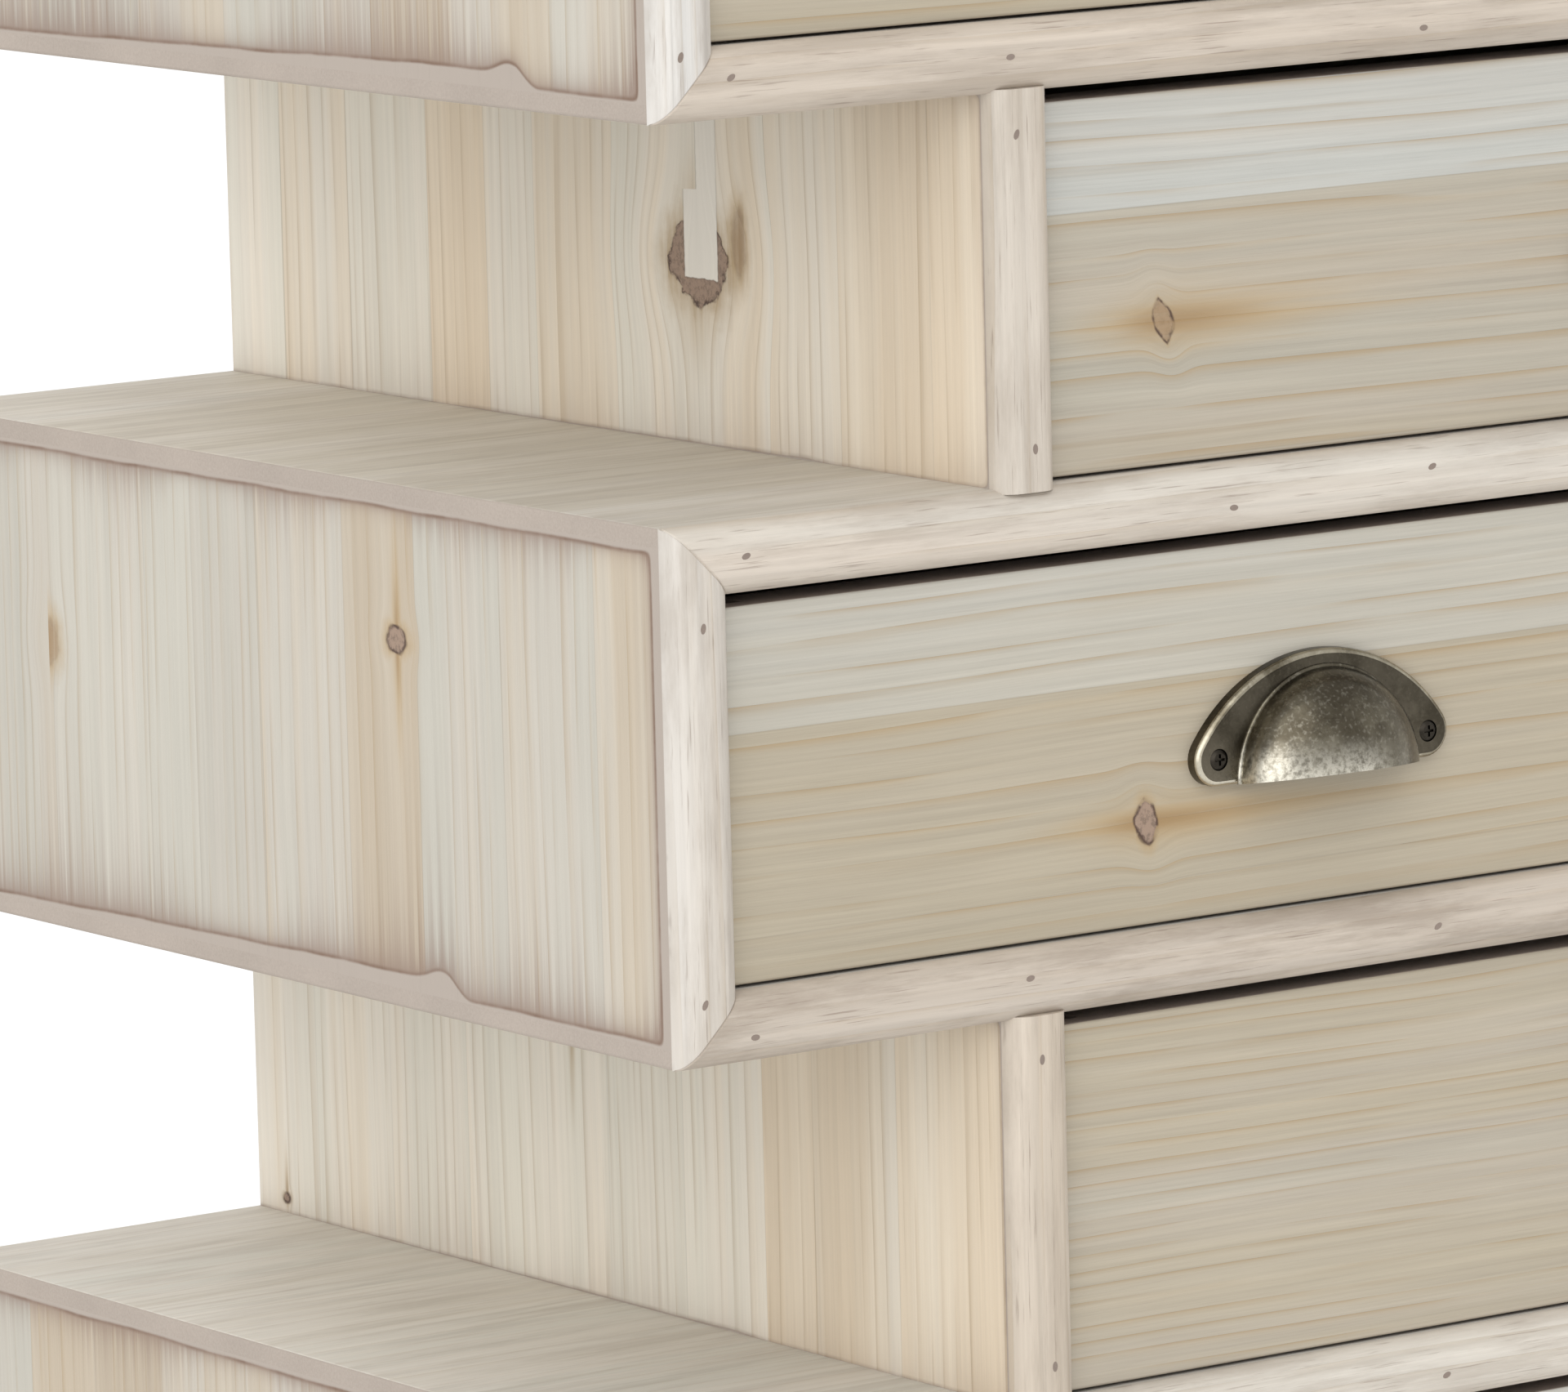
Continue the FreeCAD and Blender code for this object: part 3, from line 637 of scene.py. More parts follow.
class Surface:
    """A material under construction, with its shader and the coordinates of the piece."""

    def __init__(self, name: str) -> None:
        """Makes the material with one shader.

        Args:
            name: The name of the material.
        """
        self.material = bpy.data.materials.new(name)
        self.material.use_nodes = True
        self.graph = Graph(self.material.node_tree)
        self.shader = self.graph.add("ShaderNodeBsdfPrincipled")
        output = self.graph.add("ShaderNodeOutputMaterial")
        self.graph.feed(output.inputs["Surface"], self.shader.outputs["BSDF"])
        self.point = self.graph.add("ShaderNodeTexCoord").outputs["Object"]
        self.axes = self.graph.split(self.point)

    def board(self) -> Sequence[Socket]:
        """The lower end, the upper end and the number of the board that a point lies on."""
        node = self.graph.add("ShaderNodeAttribute", attribute_name="board")
        return self.graph.split(node.outputs["Vector"])

    def set(self, name: str, value: Value) -> None:
        """Sets one input of the shader."""
        self.graph.feed(self.shader.inputs[name], value)

    def relief(self, height: Socket, depth: float) -> None:
        """Raises the surface a little where a height is 1."""
        bump = self.graph.fed("ShaderNodeBump", {"Strength": 1.0, "Distance": depth, "Height": height})
        self.set("Normal", bump.outputs["Normal"])


@dataclass(frozen=True)
class Fir:
    """Pale fir, as veneer in glued strips or as a solid strip."""

    name: str
    grain: Grain
    colours: tuple[Colour, ...]
    strip: float = 0.034
    tone: float = 0.04
    lines: float = 0.3
    pins: float = 0.2
    flecks: float = 0.0
    top_colours: tuple[Colour, ...] = ()
    top_from: float = 62.6 * MM
    top_board: float = FRONT_BOARDS + SHOWN_TIER
    top_step: float = 3.4 * MM
    knots: tuple[Knot, ...] = ()
    patch: Optional[Patch] = None
    bare_front: Optional[float] = None
    worn: float = 0.0
    rubbed: float = 0.0
    painted_overhang_shade: float = 0.0
    front_darkening: float = 0.0
    weather: float = 0.0
    variant: float = 0.0
    cloud: float = 0.12
    joint: float = 0.1
    grain_depth: float = 0.00015

    def build(self) -> Material:
        """Makes the material.

        Returns:
            The material.
        """
        surface = Surface(self.name)
        graph = surface.graph
        low, high, seed = surface.board()
        along = surface.axes[self.grain.value[0]]
        across = surface.axes[self.grain.value[1]]
        marks = [self.mark(graph, knot, along, across) for knot in self.knots]
        bent = across
        for mark in marks:
            bent = graph.plus(bent, mark["Shift"])
        number = graph.plus(seed, self.variant)
        wood = graph.call(GRAIN_EFFECT, Along=along, Across=bent, Seed=number, Strip=self.strip)
        colour = graph.palette(wood["Hue"], self.colours)
        if self.top_colours:
            steps = graph.minus(seed, self.top_board)
            joint = graph.scaled(steps, self.top_step, self.top_from)
            upper = graph.minus(graph.minus(surface.axes[2], low), joint)
            top = graph.palette(wood["Hue"], self.top_colours)
            colour = graph.mix(graph.fade(upper, 0.0, 0.0002), colour, top)
            seam = graph.fade(graph.calc("ABSOLUTE", upper), 0.0004, 0.0)
            colour = graph.darken(colour, seam, self.joint)
        colour = graph.vary(colour, wood["Tone"], self.tone)
        colour = graph.vary(colour, graph.noise(surface.point, *WOOD_CLOUD), self.cloud)
        colour = graph.vary(colour, wood["Pins"], self.pins)
        colour = graph.cover(colour, wood["Lines"], self.lines, LATE_WOOD)
        colour = graph.darken(colour, wood["Joint"], self.joint)
        if self.weather > 0.0:
            grey = graph.fade(graph.stretched(along, across, seed, *GREY_STREAKS), 0.42, 0.66)
            colour = graph.cover(colour, grey, self.weather, WEATHERED)
        # Darker towards the front of the board.
        if self.front_darkening > 0.0:
            colour = graph.darken(colour, graph.fade(surface.axes[1], 0.06, -0.14), self.front_darkening)
        if self.flecks > 0.0:
            dash = graph.fade(graph.stretched(along, across, seed, *DASHES), 0.58, 0.72)
            colour = graph.cover(colour, dash, self.flecks, FLECK)
        for knot, mark in zip(self.knots, marks):
            colour = self.knotted(surface, colour, knot, mark)
        if self.patch is not None:
            colour = self.patched(surface, colour, wood["Pins"])
        if self.bare_front is not None:
            colour = self.edged(surface, colour, low, high, seed)
        surface.set("Base Color", colour)
        surface.set("Roughness", graph.scaled(wood["Pins"], 0.16, 0.52))
        surface.set("Specular IOR Level", 0.3)
        surface.relief(graph.minus(wood["Pins"], graph.times(wood["Lines"], 0.3)), self.grain_depth)
        return surface.material

    def mark(self, graph: Graph, knot: Knot, along: Value, across: Value) -> Sequence[Socket]:
        """Adds one knot.

        Args:
            graph: The material's nodes.
            knot: The knot's place and size.
            along: The coordinate along the grain.
            across: The coordinate across the grain.

        Returns:
            The masks of the knot.
        """
        return graph.call(
            KNOT_EFFECT, Along=along, Across=across, Centre_Along=knot.along, Centre_Across=knot.across,
            Half_Along=knot.half_along, Half_Across=knot.half_across, Stain_Reach=knot.stain,
            Stain_Half=knot.stain_half, Bias=knot.bias, Lens=knot.lens, Lean=knot.lean)

    def knotted(
        self, surface: Surface, colour: Value, knot: Knot, mark: Sequence[Socket],
    ) -> Socket:
        """Colours one knot.

        Args:
            surface: The material.
            colour: The colour of the wood.
            knot: The knot.
            mark: The masks of the knot.

        Returns:
            The colour with the knot.
        """
        graph = surface.graph
        speckle = graph.noise(surface.point, *KNOT_SPECKLE)
        heart = graph.darken(KNOT_HEART, graph.fade(speckle, 0.45, 0.65), 0.35)
        layers = (
            ("Stain", 0.72, STAIN),
            ("Core", 0.56, STAIN_CORE),
            ("Heart", knot.heart * knot.strength, heart),
            ("Outline", 0.92 * knot.strength, KNOT_RIM))
        across = surface.axes[self.grain.value[1]]
        before = graph.fade(graph.minus(across, knot.across), 0.0001, -0.0001)
        for name, share, paint in layers:
            mask = graph.times(mark[name], share)
            if knot.halved:
                mask = graph.times(mask, before)
            colour = graph.mix(mask, colour, paint)
        return colour

    def patched(self, surface: Surface, colour: Value, pins: Value) -> Socket:
        """Lets the patch into the veneer.

        Args:
            surface: The material.
            colour: The colour of the veneer.
            pins: The pinstripes.

        Returns:
            The colour with the patch.
        """
        graph = surface.graph
        part = graph.call(
            INLAY_EFFECT, Height=surface.axes[2], Depth=surface.axes[1], Low=self.patch.low,
            Step=self.patch.step, High=self.patch.high, Front=self.patch.front, Middle=self.patch.middle,
            Back=self.patch.back)
        colour = graph.mix(part["Patch"], colour, graph.vary(PATCH, pins, self.pins))
        return graph.darken(colour, part["Shadow"], 0.22)

    def edged(self, surface: Surface, colour: Value, low: Value, high: Value, seed: Value) -> Socket:
        """Lets the bare board show where the veneer stops, with a brown line along the edge that is painted
        shadow on the inner panels.

        Args:
            surface: The material.
            colour: The colour of the veneer.
            low: The board's lower end.
            high: The board's upper end.
            seed: The board's number.

        Returns:
            The colour with the bare edges.
        """
        graph = surface.graph
        depth = surface.axes[1]
        height = surface.axes[2]
        from_above = graph.minus(high, height)
        edge = graph.call(
            EDGE_EFFECT, From_Front=graph.minus(depth, FRONT_FACE),
            From_Below=graph.minus(height, low), From_Above=from_above,
            Bare_Front=self.bare_front, Worn=self.worn, Seed=seed)
        # Painted shade: the panel darker towards its upper edge, under the overhanging tier.
        if self.painted_overhang_shade > 0.0:
            colour = graph.darken(colour, graph.fade(from_above, 0.09, 0.02), self.painted_overhang_shade)
        colour = graph.cover(colour, edge["Rubbed"], self.rubbed, RUBBED)
        colour = graph.mix(edge["Veneer"], FIBRE, colour)
        # The brown line is the sanded edge of the veneer on the outer panels, and painted shadow along the
        # stile and the deck on the inner panels.
        return graph.cover(colour, edge["Line"], 0.4 + 0.35 * self.worn, SANDED_AND_SHADOW_LINE)


@dataclass(frozen=True)
class Fibreboard:
    """Bare fibreboard with a felted speckle."""

    name: str
    colour: Colour

    def build(self) -> Material:
        """Makes the material.

        Returns:
            The material.
        """
        surface = Surface(self.name)
        graph = surface.graph
        speckle = graph.noise(surface.point, *FELT_SPECKLE)
        cloud = graph.noise(surface.point, *FELT_CLOUD)
        colour = graph.vary(self.colour, speckle, 0.3)
        colour = graph.vary(colour, cloud, 0.25)
        surface.set("Base Color", colour)
        surface.set("Roughness", graph.scaled(speckle, 0.2, 0.65))
        surface.set("Specular IOR Level", 0.2)
        surface.relief(speckle, 0.00008)
        return surface.material


@dataclass(frozen=True)
class AgedBrass:
    """Brass with a dark, mottled patina, lighter low on the cup left of its middle from rubbed wear and a
    painted reflection of the white surroundings, and with painted shade towards the top.
    """

    name: str
    dark: Colour
    patina: Colour
    bright: Colour
    rubbed: float
    wear_and_sheen_height: float = 13 * MM
    wear_and_sheen_reach: float = 10 * MM
    pitted: float = 0.26
    grit: float = 0.12

    def build(self) -> Material:
        """Makes the material.

        Returns:
            The material.
        """
        surface = Surface(self.name)
        graph = surface.graph
        low, centre, _ = surface.board()
        cloud = graph.noise(surface.point, *BRASS_CLOUD)
        fleck = graph.noise(surface.point, *BRASS_FLECK)
        height = graph.minus(surface.axes[2], low)
        colour = graph.mix(graph.fade(cloud, 0.34, 0.66), self.dark, self.patina)
        spotty = graph.span(fleck, 0.36, 0.6, 0.25, 1.0)
        across = graph.minus(surface.axes[0], centre)
        # Partly rubbed wear and partly a painted reflection of the white surroundings: lighter low on the
        # cup, left of its middle.
        worn = graph.times(graph.fade(height, self.wear_and_sheen_height, 0.0), spotty)
        worn = graph.times(worn, graph.span(across, 0.0, self.wear_and_sheen_reach, 1.0, 0.15))
        colour = graph.cover(colour, worn, self.rubbed, self.bright)
        # Painted shade: darker towards the top of the cup, where the dark room would be reflected.
        colour = graph.darken(colour, graph.fade(height, 0.008, 0.027), 0.2)
        colour = graph.darken(colour, graph.fade(fleck, 0.55, 0.72), self.pitted)
        grit = graph.fade(graph.noise(surface.point, *BRASS_GRIT), 0.5, 0.72)
        colour = graph.cover(colour, grit, self.grit, self.bright)
        surface.set("Base Color", colour)
        surface.set("Metallic", 1.0)
        surface.set("Roughness", graph.span(cloud, 0.3, 0.7, 0.2, 0.34))
        surface.relief(fleck, 0.00004)
        return surface.material


@dataclass(frozen=True)
class Smooth:
    """A smooth material with faint cloudy wear, such as steel or plastic."""

    name: str
    colour: Colour
    metallic: float
    rough: float

    def build(self) -> Material:
        """Makes the material.

        Returns:
            The material.
        """
        surface = Surface(self.name)
        graph = surface.graph
        cloud = graph.noise(surface.point, *SMOOTH_CLOUD)
        surface.set("Base Color", graph.vary(self.colour, cloud, 0.5))
        surface.set("Metallic", self.metallic)
        surface.set("Roughness", graph.span(cloud, 0.3, 0.7, self.rough - 0.06, self.rough + 0.08))
        return surface.material


# Forms

Choice = Callable[[Edge], bool]


def box_form(low: Vector, high: Vector) -> Form:
    """A plain board between two corners.

    Args:
        low: The lowest corner.
        high: The highest corner.

    Returns:
        The board.
    """
    form = bmesh.new()
    size = high - low
    place = Matrix.Translation((low + high) / 2) @ Matrix.Diagonal((size.x, size.y, size.z, 1.0))
    bmesh.ops.create_cube(form, size=1.0, matrix=place)
    return form


# Edges sharper than the first angle are rounded, and those sharper than the second are shaded as creases.
SHARP = 0.5
CREASE = 0.7

# A face that leans more than this from every axis is shaded as round.
SLANTED = 0.999


def soften(form: Form, width: float, segments: int, chosen: Choice = lambda edge: True) -> None:
    """Rounds the chosen sharp edges of a form.

    Args:
        form: The form.
        width: How far the rounding reaches.
        segments: Steps of the rounding.
        chosen: Picks the edges.
    """
    edges = [edge for edge in form.edges if edge.calc_face_angle(0.0) > SHARP and chosen(edge)]
    bmesh.ops.bevel(
        form, geom=edges, offset=width, segments=segments, profile=0.5, affect="EDGES", material=-1)


def everything(form: Form) -> list[Union[Corner, Edge, Face]]:
    """All corners, edges and faces of a form."""
    return form.verts[:] + form.edges[:] + form.faces[:]


def slice_off(form: Form, point: Vector, outward: Vector) -> None:
    """Cuts a form with a plane, takes off what lies outward and closes the cut.

    Args:
        form: The form.
        point: A point on the plane.
        outward: The way out from the plane.
    """
    cut = bmesh.ops.bisect_plane(
        form, geom=everything(form), plane_co=point, plane_no=outward, clear_outer=True)
    rim = [part for part in cut["geom_cut"] if isinstance(part, Edge)]
    bmesh.ops.edgeloop_fill(form, edges=rim)


def middle(edge: Edge) -> Vector:
    """The middle of an edge."""
    return (edge.verts[0].co + edge.verts[1].co) / 2


class Piece:
    """One finished piece, gathered from forms and given its finish."""

    def __init__(self, name: str, materials: Sequence[Material]) -> None:
        """Starts an empty piece.

        Args:
            name: The name of the piece.
            materials: Its finishes.
        """
        self.name = name
        self.materials = materials
        self.mesh = bpy.data.meshes.new(name)
        self.whole = bmesh.new()

    def add(
        self, form: Form, board: Sequence[float] = (0.0, 0.0, 0.0),
        finish: Callable[[Face], int] = lambda face: 0, round_all: bool = False,
    ) -> None:
        """Adds a form.

        Args:
            form: The form, which is used up.
            board: The form's lower end, upper end and number.
            finish: Picks the finish of a face.
            round_all: Shades every face as round instead of only the slanted ones.
        """
        bmesh.ops.remove_doubles(form, verts=form.verts[:], dist=MERGE)
        form.normal_update()
        layer = form.verts.layers.float_vector.new("board")
        for vertex in form.verts:
            vertex[layer] = Vector(board)
        for face in form.faces:
            face.material_index = finish(face)
            face.smooth = round_all or max(abs(part) for part in face.normal) < SLANTED
        for edge in form.edges:
            edge.smooth = edge.calc_face_angle(0.0) < CREASE
        passing = bpy.data.meshes.new("passing")
        form.to_mesh(passing)
        form.free()
        self.whole.from_mesh(passing)
        bpy.data.meshes.remove(passing)

    def place(self, body: str, slot: str, nodes: Sequence[str] = ()) -> bpy.types.Object:
        """Finishes the piece and joins it to a body.

        Args:
            body: The body that it moves with.
            slot: Not used.
            nodes: The plain pieces that it stands for.

        Returns:
            The finished object.
        """
        self.whole.to_mesh(self.mesh)
        self.whole.free()
        for material in self.materials:
            self.mesh.materials.append(material)
        thing = bpy.data.objects.new(self.name, self.mesh)
        bpy.context.scene.collection.objects.link(thing)
        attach(thing, body)
        if nodes:
            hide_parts(*nodes)
        LOG.info("%s: %d faces", self.name, len(self.mesh.polygons))
        return thing


def dress(node: str, material: Material) -> None:
    """Gives a plain piece its finish.

    Args:
        node: The name of the piece.
        material: The finish.
    """
    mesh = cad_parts[node].data
    mesh.materials.clear()
    mesh.materials.append(material)


# Carcass

def is_corner(tier: int, side: Side, deck: int) -> bool:
    """Whether the end of a deck and the side of a tier meet in an outer corner.

    Args:
        tier: The tier, counted from below.
        side: The side of the tier.
        deck: The deck, counted from below.

    Returns:
        True at an outer corner.
    """
    if side is Side.LEFT:
        return tier % 2 == 1
    return tier % 2 == 0 or deck in (1, TIERS + 1)


def deck_range(deck: int) -> tuple[float, float]:
    """The heights of a deck's underside and upper face."""
    low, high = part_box(f"deck_{deck}")
    return low.z, high.z


@dataclass(frozen=True)
class WoodSet:
    """The finishes of the carcass."""

    outer_left: Material
    inner_left: Material
    outer_right: Material
    inner_right: Material
    deck: Material
    fibre: Material
    rail: Material
    weathered_rail: Material
    stile: Material
    inner_stile: Material
    filler: Material
    back: Material
    drawer_side: Material
    glide: Material


@dataclass
class Carcass:
    """Decks, side panels, mouldings and what stands behind the drawers."""

    woods: WoodSet
    edge_round: float = 0.9 * MM
    seam_round: float = 0.4 * MM
    moulding: float = 6.4 * MM
    shoulder: float = 6.0 * MM
    filler_half: float = 1.35 * MM
    filler_narrow: float = 0.58
    filler_depth: float = 0.5 * MM
    filler_lean: float = math.radians(12)
    brad_swing: float = 2.4 * MM
    weathered_rails: tuple[int, ...] = (2, 5, 8)
    # Brads along the even and the odd decks, in millimetres from the left end.
    even_brads: tuple[float, ...] = (21.8, 173.1, 237.5, 330, 412, 485)
    odd_brads: tuple[float, ...] = (20.9, 105.8, 237, 310, 398, 487)
    # How far the brads stand proud, and how their places and their lean change from one to the next.
    filler_proud: float = 0.02 * MM
    rail_turn: float = 2.3
    stile_turn: float = 1.7
    lean_turn: float = 1.9
    brad_wobble: float = 0.25
    brad_steps: int = 14
    # The lift and shift of a stile's lower brad, and the drop of its upper one.
    inner_brad: tuple[float, float] = (9.7 * MM, 0.9 * MM)
    corner_brad: tuple[float, float] = (-1.4 * MM, -2.9 * MM)
    inner_drop: float = 10.1 * MM
    corner_drop: float = 7.0 * MM
    upper_swing: float = 1.5 * MM
    upper_shift: float = -1.8 * MM

    def build(self) -> None:
        """Builds every piece of the carcass."""
        for deck in range(1, TIERS + 2):
            self.build_deck(deck)
        for side in Side:
            self.build_panels(side)
            self.build_stiles(side)
        self.build_rails()
        self.build_fillers()
        dress("back_panels", self.woods.back)
        dress("drawer_stops", self.woods.drawer_side)
        dress("carcass_dowels", self.woods.drawer_side)
        dress("floor_glides", self.woods.glide)

    def deck_ends(self, deck: int) -> list[tuple[Side, bool]]:
        """The ends of a deck that carry a lip, and whether the tier there stands above it.

        Args:
            deck: The deck, counted from below.

        Returns:
            Each end with its answer.
        """
        ends = []
        for tier in (deck - 1, deck):
            for side in Side:
                if 1 <= tier <= TIERS and is_corner(tier, side, deck):
                    ends.append((side, tier == deck))
        return ends

    def build_deck(self, deck: int) -> None:
        """Builds one deck with the lips that close its corners.

        Args:
            deck: The deck, counted from below.
        """
        low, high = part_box(f"deck_{deck}")
        inset = Vector((BOARD, 0.0, 0.0))
        form = box_form(low + inset, high - inset)
        for level in (low.z + LIP, high.z - LIP):
            bmesh.ops.bisect_plane(form, geom=everything(form), plane_co=(0, 0, level), plane_no=(0, 0, 1))
        for side, above in self.deck_ends(deck):
            level = low.z + LIP / 2 if above else high.z - LIP / 2
            ends = [face for face in form.faces if face.normal.x * side.outward > FACING]
            lips = [face for face in ends if abs(face.calc_center_median().z - level) < LIP / 2]
            grown = bmesh.ops.extrude_discrete_faces(form, faces=lips)
            for face in grown["faces"]:
                bmesh.ops.translate(form, verts=face.verts[:], vec=(side.outward * BOARD, 0, 0))

        def outer(edge: Edge) -> bool:
            """Whether an edge lies along an end of the deck."""
            point = middle(edge)
            at_end = min(abs(point.x - low.x), abs(point.x - high.x)) < TOUCH
            return at_end and min(abs(point.z - low.z), abs(point.z - high.z)) < TOUCH

        bmesh.ops.recalc_face_normals(form, faces=form.faces[:])
        soften(form, self.edge_round, 3, outer)
        piece = Piece(f"deck_board_{deck}", (self.woods.deck, self.woods.fibre))
        piece.add(form, (low.z, high.z, deck), lambda face: 0 if abs(face.normal.z) > FACING else 1)
        piece.place(CARCASS, "deck_board", (f"deck_{deck}",))

    def panel_x(self, tier: int, side: Side) -> tuple[float, float]:
        """Where a side panel starts and ends across the chest.

        Args:
            tier: The tier, counted from below.
            side: The side of the tier.

        Returns:
            The two places.
        """
        front_low, front_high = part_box(f"drawer_{tier}_front")
        centre = (front_low.x + front_high.x) / 2
        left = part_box("left_side_panels")[0].x
        top_low, top_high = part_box(f"deck_{TIERS + 1}")
        half = (top_high.x - top_low.x) / 2
        if side is Side.LEFT:
            return max(centre - half, left), centre - half + BOARD
        return centre + half - BOARD, centre + half

    def panel_z(self, tier: int, side: Side) -> tuple[float, float]:
        """Where a side panel starts and ends in height.

        Args:
            tier: The tier, counted from below.
            side: The side of the tier.

        Returns:
            The two heights.
        """
        low = deck_range(tier)[0] + LIP if is_corner(tier, side, tier) else deck_range(tier)[1]
        high = deck_range(tier + 1)[0]
        if is_corner(tier, side, tier + 1):
            high = deck_range(tier + 1)[1] - LIP
        return low, high

    def build_panels(self, side: Side) -> None:
        """Builds the panels that close one side of the tiers.

        Args:
            side: The side.
        """
        node = f"{side.value}_side_panels"
        node_low, node_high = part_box(node)
        outer = self.woods.outer_left if side is Side.LEFT else self.woods.outer_right
        inner = self.woods.inner_left if side is Side.LEFT else self.woods.inner_right
        piece = Piece(f"{side.value}_panels", (outer, self.woods.fibre, inner))
        for tier in range(1, TIERS + 1):
            x_low, x_high = self.panel_x(tier, side)
            low, high = self.panel_z(tier, side)
            form = box_form(Vector((x_low, node_low.y, low)), Vector((x_high, node_high.y, high)))
            soften(form, self.seam_round, 2, lambda edge: middle(edge).y > node_high.y - TOUCH)
            main = 0 if is_corner(tier, side, tier) else 2

            def finish(face: Face, main: int = main) -> int:
                """The veneer on the panel's sides, and the fibreboard elsewhere."""
                return main if abs(face.normal.x) > FACING else 1

            piece.add(form, (low, high, tier + PANEL_BOARDS), finish)
        piece.place(CARCASS, "fir_veneer", (node,))

    def strip(self, low: Vector, high: Vector, upright: bool) -> Form:
        """A length of moulding: a flat D with round shoulders.

        Args:
            low: The lowest corner.
            high: The highest corner.
            upright: Whether it stands.

        Returns:
            The moulding.
        """
        form = box_form(low, high)

        def crest(edge: Edge) -> bool:
            """Whether an edge runs along the moulding's front."""
            run = edge.verts[1].co - edge.verts[0].co
            lengthwise = abs(run.z if upright else run.x) > FACING * run.length
            return lengthwise and abs(middle(edge).y - low.y) < TOUCH

        soften(form, self.shoulder, 10, crest)
        return form

    def mitre(self, form: Form, side: Side, deck: int, above: bool, for_rail: bool) -> None:
        """Cuts a mitre at an outer corner.

        Args:
            form: The moulding.
            side: The end of the deck.
            deck: The deck.
            above: Whether the tier of the corner stands above the deck.
            for_rail: Whether the moulding is the rail.
        """
        low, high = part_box(f"deck_{deck}")
        corner = Vector((low.x if side is Side.LEFT else high.x, 0.0, low.z if above else high.z))
        normal = Vector((side.outward, 0.0, 1.0 if above else -1.0))
        slice_off(form, corner, normal if for_rail else -normal)

        def rim(edge: Edge) -> bool:
            """Whether an edge lies in the cut."""
            return all(abs((vertex.co - corner).dot(normal)) < 0.01 * MM for vertex in edge.verts)

        soften(form, self.seam_round, 1, rim)

    def build_rails(self) -> None:
        """Builds the mouldings along the decks."""
        piece = Piece("rail_mouldings", (self.woods.rail, self.woods.weathered_rail))
        for deck in range(1, TIERS + 2):
            low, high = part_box(f"deck_{deck}")
            front = Vector((low.x, low.y - self.moulding, low.z))
            form = self.strip(front, Vector((high.x, low.y, high.z)), False)
            for side, above in self.deck_ends(deck):
                self.mitre(form, side, deck, above, True)
            finish = 1 if deck in self.weathered_rails else 0
            piece.add(form, (low.z, high.z, deck + RAIL_BOARDS), lambda face, finish=finish: finish)
        piece.place(CARCASS, "fir_moulding", ("front_rails",))

    def build_stiles(self, side: Side) -> None:
        """Builds the mouldings on the side panels' front edges.

        Args:
            side: The side.
        """
        piece = Piece(f"{side.value}_stile_mouldings", (self.woods.stile, self.woods.inner_stile))
        for tier in range(1, TIERS + 1):
            x_low, x_high = self.panel_x(tier, side)
            y_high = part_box("deck_1")[0].y
            lower = deck_range(tier)
            upper = deck_range(tier + 1)
            low = lower[0] if is_corner(tier, side, tier) else lower[1] - COPE
            high = upper[1] if is_corner(tier, side, tier + 1) else upper[0] + COPE
            form = self.strip(
                Vector((x_low, y_high - self.moulding, low)), Vector((x_high, y_high, high)), True)
            for deck in (tier, tier + 1):
                if is_corner(tier, side, deck):
                    self.mitre(form, side, deck, tier == deck, False)
            number = tier + (LEFT_STILE_BOARDS if side is Side.LEFT else RIGHT_STILE_BOARDS)
            finish = 0 if is_corner(tier, side, tier) else 1
            piece.add(form, (low, high, number), lambda face, finish=finish: finish)
        piece.place(CARCASS, "fir_moulding", (f"{side.value}_stiles",))

    def build_fillers(self) -> None:
        """Builds the filled heads of the brads on the mouldings."""
        piece = Piece("brad_fillers", (self.woods.filler,))
        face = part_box("deck_1")[0].y - self.moulding - self.filler_proud
        spots = []
        for deck in range(1, TIERS + 2):
            low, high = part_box(f"deck_{deck}")
            swing = self.brad_swing if deck % 2 else -self.brad_swing
            for index, run in enumerate(self.odd_brads if deck % 2 else self.even_brads):
                place = low.x + run * MM
                if place < high.x - BOARD:
                    sway = math.sin(index * self.rail_turn + deck) * swing
                    spots.append((place, (low.z + high.z) / 2 + sway, self.filler_lean))
        for side in Side:
            for tier in range(1, TIERS + 1):
                x_low, x_high = self.panel_x(tier, side)
                centre = (x_low + x_high) / 2
                low_lift, low_shift = self.corner_brad if is_corner(tier, side, tier) else self.inner_brad
                high_shift = math.sin(tier * self.stile_turn) * self.upper_swing + self.upper_shift
                high_drop = self.corner_drop if is_corner(tier, side, tier + 1) else self.inner_drop
                upright = math.pi / 2 - self.filler_lean
                spots.append((centre + low_shift, deck_range(tier)[1] + low_lift, upright))
                spots.append((centre + high_shift, deck_range(tier + 1)[0] - high_drop, upright))
        stand = Matrix.Rotation(math.pi / 2, 4, "X")
        flatten = Matrix.Diagonal((1.0, self.filler_narrow, 1.0, 1.0))
        for index, (x, z, angle) in enumerate(spots):
            lean = Matrix.Rotation(angle + self.brad_wobble * math.sin(index * self.lean_turn), 4, "Z")
            form = bmesh.new()
            bmesh.ops.create_cone(
                form, cap_ends=True, segments=self.brad_steps, radius1=self.filler_half,
                radius2=self.filler_half, depth=self.filler_depth,
                matrix=Matrix.Translation((x, face + self.filler_depth / 2, z)) @ stand @ lean @ flatten)
            piece.add(form)
        piece.place(CARCASS, "fir_moulding")


# Drawers

PLAIN_TIERS = (2, 4, 7)


@dataclass(frozen=True)
class DrawerSet:
    """The finishes of a drawer."""

    front: Material
    plain_front: Material
    edge: Material
    side: Material
    back: Material
    base: Material
    cup: Material
    flange: Material
    # The flange's rounded edge: lighter brass, partly rubbed and partly painted highlight.
    rim: Material
    screw: Material


